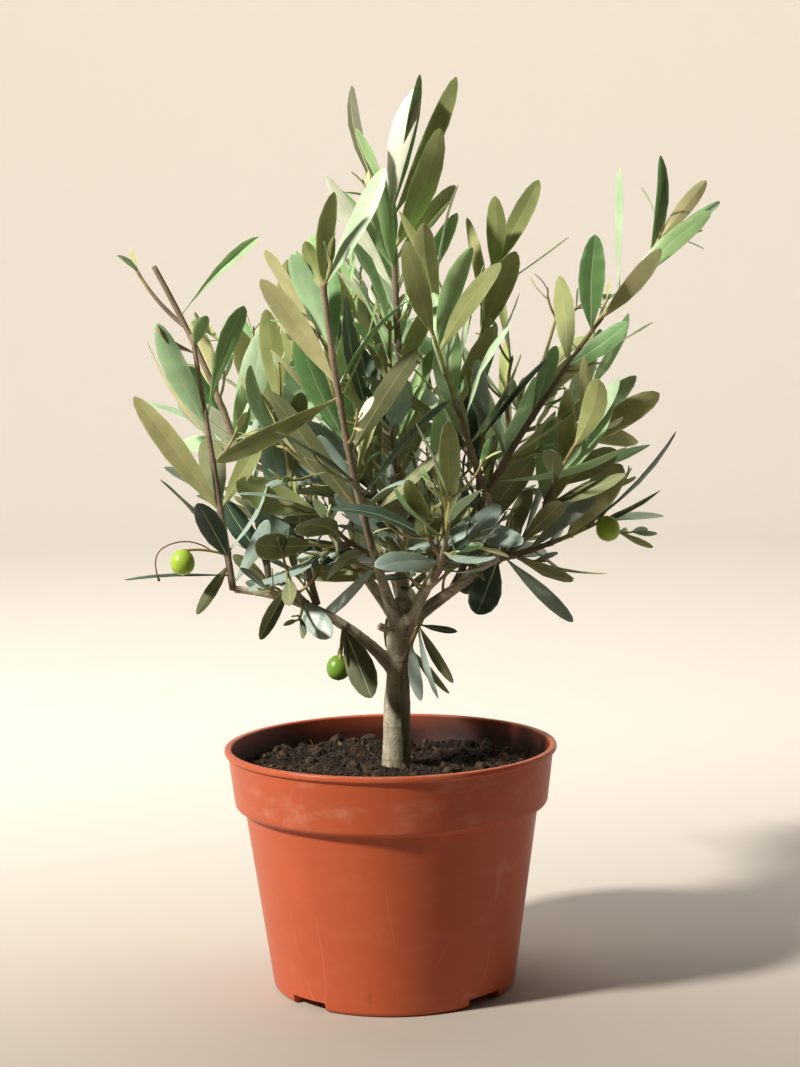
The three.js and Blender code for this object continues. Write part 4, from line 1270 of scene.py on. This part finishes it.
def blade(leaf, shade, draw, curl=None, fold=None, waist=0.0):
    """Points, faces and finishes of one leaf, as rings of eight points along its blade."""
    t = leaf_stations
    slim = draw()
    outline = broad_outline * (1 - slim) + slim_outline * slim
    outline = np.maximum(outline * np.maximum(t, 0.01) ** waist, 0.08)
    half = max(leaf.width, narrowest_share * leaf.length) / 2
    side = half * outline
    crease = fold if fold is not None else 0.08 + 0.30 * draw() ** 2
    rolled = 0.05 + 0.3 * draw()
    ripple = 0.16 * (draw() - 0.5)
    ripple_phase = math.tau * draw()
    bend = curl if curl is not None else 0.9 * (draw() - 0.45)
    thick = leaf_thickness / 2 * np.where(outline < 0.1, 1.6, 1.0) * np.where(t == 1.0, 0.4, 1.0)
    rib = np.minimum(np.clip(rib_share * (1.15 - t), 0.008, None) * half / side, 0.8)
    keel = -keel_height * (1.1 - t)
    # Eight lines run from foot to tip: an edge, four on the upper face, the other edge, two along the keel.
    lines = []
    for share, up, offset in ((-1, 0, 0), (-0.5, 1, 0), (-rib, 1, -groove_depth), (rib, 1, -groove_depth),
                              (0.5, 1, 0), (1, 0, 0), (rib, -1, keel), (-rib, -1, keel)):
        share = share * np.ones_like(t)
        lift = crease * np.abs(share) - rolled * share ** 2
        wave = ripple * share * np.sin(2.4 * math.tau * t + ripple_phase)
        height = side * (lift + wave) + up * thick + offset
        lines.append(np.stack([leaf.length * t, side * share, height], 1))
    local = np.stack(lines, 1)
    x, y, z = local[..., 0], local[..., 1], local[..., 2]
    turn = (leaf.twist * (t - 0.5))[:, None]
    y, z = y * np.cos(turn) - z * np.sin(turn), y * np.sin(turn) + z * np.cos(turn)
    # Past about a third of its length the blade bends down or up along an arc.
    start = bend_from * leaf.length
    past = np.clip(x - start, 0, None)
    angle = bend * past / (leaf.length - start)
    x_bent = np.where(past > 0, start + past * np.sinc(angle / math.pi) - z * np.sin(angle), x)
    z_bent = z * np.cos(angle) + past * np.sin(angle / 2) * np.sinc(angle / math.tau)
    bow = (leaf.length * t * (1 - t))[:, None]
    y = y + leaf.sickle * bow
    z_bent = z_bent + leaf.bow * bow
    world = (np.array(leaf.root) + x_bent[..., None] * np.array(leaf.along)
             + y[..., None] * np.array(leaf.across) + z_bent[..., None] * np.array(leaf.upper))
    points = [tuple(p) for p in world.reshape(-1, 3)]
    upper, under = shade
    strips = [upper, upper, rib_finish, upper, upper, under, keel_finish, under]
    faces, finishes = [], []
    for row in range(len(t) - 1):
        for column in range(8):
            a, b = row * 8 + column, row * 8 + (column + 1) % 8
            faces.append((b, a, a + 8, b + 8))
            finishes.append(stalk_finish if row < stalk_rows else strips[column])
    faces.append(tuple(range(8)))
    faces.append(tuple(len(points) - 1 - k for k in range(8)))
    finishes += [stalk_finish, upper]
    return points, faces, finishes


leaf_stock = Stock()
# Leaves with a look of their own, by their number on the mass's stem: curl, fold, waist, finishes. The
# shaded finish and the dark old ones on some of them are painted shade, and the pale old one a painted sky
# reflection.
# One is left out, because a leaf set further below takes its place.
own_looks = {
    ("foliage_leader_top", 0): (-0.5, 0.10, 0.0, (silver, silver)),
    ("foliage_leader_top", 3): (0.7, 0.35, 0.5, (1, shaded)),
    ("foliage_west_inner", 0): (0.5, 0.8, 1.1, (1, 5)),
    ("foliage_west_outer", 0): (0.2, 0.10, 0.0, (0, 5)),
    ("foliage_west_outer", 2): None,
    ("foliage_east_sweep", 3): (0.3, 0.2, 0.0, (3, 3)),
    ("foliage_east_sweep", 7): (0.1, 0.1, 0.0, (1, silver)),
    ("foliage_north_east", 0): (0.2, 0.1, 0.2, (0, 6)),
    ("foliage_north_east", 1): (0.2, 0.1, 0.2, (2, 6)),
    ("foliage_front_west", 0): (0.1, 0.12, 0.0, (3, 5)),
    ("foliage_front_west", 2): (0.1, 0.15, 0.2, (4, 5)),
    ("foliage_low_hanging", 0): (0.1, 0.12, 0.0, (shaded, shaded)),
    ("foliage_low_west", 0): (0.2, 0.2, 0.0, (old_sky_sheen, shaded)),
    ("foliage_low_west", 1): (0.2, 0.2, 0.0, (old_sky_sheen, shaded)),
}
turned_share, odd_share, silver_share = 0.36, 0.4, 0.14


def add_spray(number, twig):
    """The leaves of one twig. Most share a green, some are turned over at their stalk, a few are silvery."""
    draw = seeded(twig.mass.seed * 300 + number)
    spray_upper, spray_under = int(draw() * upper_finishes), int(draw() * (under_finishes - 1))
    for k, leaf in enumerate(twig.leaves):
        is_set = k < twig.set_count
        if is_set and (twig.name, k) in own_looks:
            if own_looks[twig.name, k]:
                curl, fold, waist, shade = own_looks[twig.name, k]
                leaf_stock.add(*blade(leaf, shade, draw, curl, fold, waist))
            continue
        upper = int(draw() * upper_finishes) if draw() < odd_share else spray_upper
        under = int(draw() * (under_finishes - 1)) if draw() < odd_share else spray_under
        if draw() < silver_share:
            under = under_finishes - 1
        if not is_set and draw() < turned_share:
            leaf.turn_over()
        shade = (upper, upper_finishes + under)
        # Leaves low and deep in the crown take the old finishes: a darker green, partly of older leaves and
        # partly painted shade, or a pale bluish green that is a painted sky reflection.
        depth = (0.315 - leaf.root.z) / 0.09 + (0.09 - leaf.root.xy.length) / 0.16
        if draw() < depth:
            shade = ((old_sky_sheen, old_and_shaded)[int(draw() * 2)], old_under_shaded)
        leaf_stock.add(*blade(leaf, shade, draw))


for number, twig in enumerate(grown):
    add_spray(number, twig)
for number, twig in enumerate(fine):
    add_spray(1000 + number, twig)

# More leaves set one by one, as a mass's outer leaves are, each with its curl, fold, waist and finishes.
# Among their finishes, shaded and the dark old ones are painted shade, and the pale old one is a painted sky
# reflection.
set_leaves = {
    "foliage_leader_top": [(1.0, -25, 78, 78, 13, 62, 0.1, 0.3, 0, (2, 2)),
                           (0.6, 172, 61, 76, 10, -20, 0.2, 0.1, 0, (silver, silver)),
                           (0.45, 3, 57, 70, 12, -30, 0.3, 0.2, 0, (1, 6))],
    "foliage_west_outer": [(0.94, -173, 11, 31, 8, 60, 1.6, 0.8, 0, (dry, dry)),
                           (0.70, -14, 72, 72, 16, 15, 0.6, 0.5, 0.9, (2, 6)),
                           (0.36, -10, 60, 50, 12, 178, 0.2, 0.1, 0.2, (2, 6)),
                           (0.02, -24, 56, 46, 11, -20, 0.2, 0.1, 0.3, (old_sky_sheen, shaded))],
    "foliage_west_inner": [(0.10, 166, 55, 44, 13, 10, 0.2, 0.2, 0, (old_and_shaded, shaded))],
    "foliage_mid_west": [(0.30, 165, 46, 50, 15, 20, 0.2, 0.2, 0, (old_sky_sheen, shaded))],
    "foliage_north_east": [(0.86, 172, 79, 60, 9, 140, 0.2, 0.3, 0, (2, 5))],
    "foliage_core_west": [(0.98, -172, 22, 52, 19, 175, -0.2, 0.1, 0, (2, 6))],
    "foliage_low_east": [(0.02, -150, -64, 34, 18, 0, 0.1, 0.1, 0, (old_and_shaded, shaded)),
                         (0.03, 160, -40, 30, 15, 20, 0.2, 0.1, 0, (old_and_shaded, shaded)),
                         (0.70, -14, 52, 52, 18, 178, 0.2, 0.1, 0, (2, 5))],
    "foliage_east_sweep": [(0.06, -4, 10, 76, 7, 60, -0.2, 0.1, 0, (4, 6))],
    "foliage_trunk_spray": [(0.98, -4, -10, 22, 6, 40, 0.1, 0.1, 0, (old_and_shaded, shaded))],
}
for name, rows in set_leaves.items():
    draw = seeded(masses[name].seed)
    for *spec, curl, fold, waist, shade in rows:
        leaf_stock.add(*blade(outer_leaf(masses[name].stem, spec, draw), shade, draw, curl, fold, waist))


def leaf_finish(name, base, rough, drift, glow=0.0):
    """One plain leaf colour, with the grain of the blade, a faint waxy bloom, and some light from behind."""
    finish = Finish(name, Subsurface_Weight=glow, Subsurface_Radius=(0.75, 0.9, 0.6),
                    Subsurface_Scale=0.9 * mm)
    bloom = finish.noise(90, 3.0, 0.5)
    pale = tuple(min(1.0, c * 1.22 + 0.012) for c in colour(base)[:3]) + (1.0,)
    finish.feed(
        Base_Color=finish.blend(bloom.step(0.3, 0.7) * drift, colour(base), pale),
        Roughness=bloom * 0.16 + (rough - 0.08),
    )
    finish.relief(finish.noise(650, 3.0, 0.55), 0.00025, 0.45)
    return finish.material


leaf_glow = 0.35
# Each look has a name, a colour, a roughness, how much its bloom shows, and its share of light from behind.
upper_greens = ["94b67c", "a8ca9a", "6f985e", "adc5a3", "9abc90"]
under_greens = ["abac77", "9da66b", "b9b886", "d3d8c3"]
leaf_looks = [(f"upper_{k}", green, 0.34, 0.8, leaf_glow) for k, green in enumerate(upper_greens)]
leaf_looks += [(f"under_{k}", green, 0.6, 0.8, leaf_glow) for k, green in enumerate(under_greens)]
leaf_looks += [
    ("midrib", "b2c49a", 0.45, 0.4),
    ("keel", "bdb684", 0.6, 0.4),
    ("stalk", "a3a162", 0.55, 0.4),
    ("dry", "8d7b5c", 0.7, 0.8),
    # Painted shade: the shaded look is a dark underside for leaves that hang in shade.
    ("shaded", "565b38", 0.6, 0.8, leaf_glow),
    # The old looks: a painted sky reflection in the pale bluish first, painted shade in the dark second and
    # third.
    ("old_0", "94a99f", 0.38, 0.8, 0.2),
    ("old_1", "3e5445", 0.38, 0.8, 0.2),
    ("old_2", "7d835b", 0.6, 0.8, 0.2),
]
leaf_materials = [leaf_finish(f"leaf_{name}", *look) for name, *look in leaf_looks]
leaves_piece = leaf_stock.piece("leaves", *leaf_materials)
leaves_piece.data.set_sharp_from_angle(angle=math.radians(70))
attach(leaves_piece, "root")
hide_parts(*masses)

# ------------------------------------------------------------------ olives
# Three green olives, each hanging from a thin stalk: an egg of firm, waxy flesh with pale pores. The lowest
# hangs in the shade of the crown, and its deeper green flesh is painted shade.
olive_radius, olive_length = 6.8 * mm, 14.2 * mm
outline = []
for k in range(25):
    angle = math.pi * (k / 24 - 0.5)
    radius = olive_radius * math.cos(angle) ** 0.92 * (1 - 0.05 * math.sin(angle))
    outline.append((max(radius, 0.0), olive_length / 2 * math.sin(angle)))
outline[0] = (0, -olive_length / 2 - 0.5 * mm)  # a small nib below
outline[-1] = (0, olive_length / 2 - 0.7 * mm)  # a dimple at the stalk
olive_points, olive_faces = turned(outline, 32)
sunny_olive, shaded_olive = 0, 1
olive_stock, stalk_stock = Stock(), Stock()
stalk_shares = [k / 16 for k in range(17)]
stalk_radii = [0.75 * mm + 0.7 * mm * max(0.0, s - 0.88) / 0.12 for s in stalk_shares]
hangers = {}
for name, mass in masses.items():
    for root, middle in mass.fruit():
        flesh = shaded_olive if name == "foliage_low_hanging" else sunny_olive
        olive_stock.add([Vector(p) + middle for p in olive_points], olive_faces, flesh)
        top = middle + Vector((0, 0, olive_length / 2 - 1 * mm))
        via = root.lerp(top, 0.6)
        via.z = max(root.z, top.z) + 2 * mm
        hangers[name] = Arc([root, via, top], 1)
        stalk_stock.add(*tube([hangers[name].point(s) for s in stalk_shares], stalk_radii, 10))

# On the west side a second stalk of the same bunch has lost its olive. It arches out and hangs, with a scar.
fork = hangers["foliage_west_outer"].point(0.3)
arch = Arc([fork, fork + Vector((-12, -4, 10)) * mm, fork + Vector((-25, -8, 4)) * mm], 1)
drop = Arc([arch.end, arch.end + Vector((-9, -2, -4)) * mm, arch.end + Vector((-4, -2, -19)) * mm], 1)
line = [arch.point(k / 10) for k in range(11)] + [drop.point(k / 10) for k in range(1, 11)]
stalk_stock.add(*tube(line, [0.42 * mm] * 19 + [0.5 * mm, 0.85 * mm], 8), 1)


def olive_flesh(name, light, deep, pore):
    """Firm green flesh that drifts between two greens, with pale pores."""
    flesh = Finish(name, Roughness=0.36)
    pores = flesh.add("ShaderNodeTexVoronoi", {}, {"Vector": flesh.place(), "Scale": 900.0}, "Distance")
    ripe = flesh.noise(110, 3.0, 0.5)
    base = flesh.blend(ripe.step(0.35, 0.7) * 0.5, colour(light), colour(deep))
    flesh.feed(Base_Color=flesh.blend(pores.step(0.22, 0.1) * 0.55, base, colour(pore)))
    flesh.relief(flesh.noise(500, 3.0, 0.5), 0.0003, 0.4)
    return flesh.material


# The second flesh, for the lowest olive, is a darker copy: painted shade.
olives = olive_stock.piece("olives", olive_flesh("olive_flesh", "a4c640", "8bb034", "cfd98c"),
                           olive_flesh("shaded_olive_flesh", "6f9a30", "5a8428", "a3b767"))
stalks = stalk_stock.piece("olive_stalks", leaf_finish("olive_stalk", "aca762", 0.6, 0.5),
                           leaf_finish("spent_stalk", "7b5c42", 0.7, 0.5))
for piece in (olives, stalks):
    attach(piece, "root")
    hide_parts(*(name for name, mass in masses.items() if mass.olives))
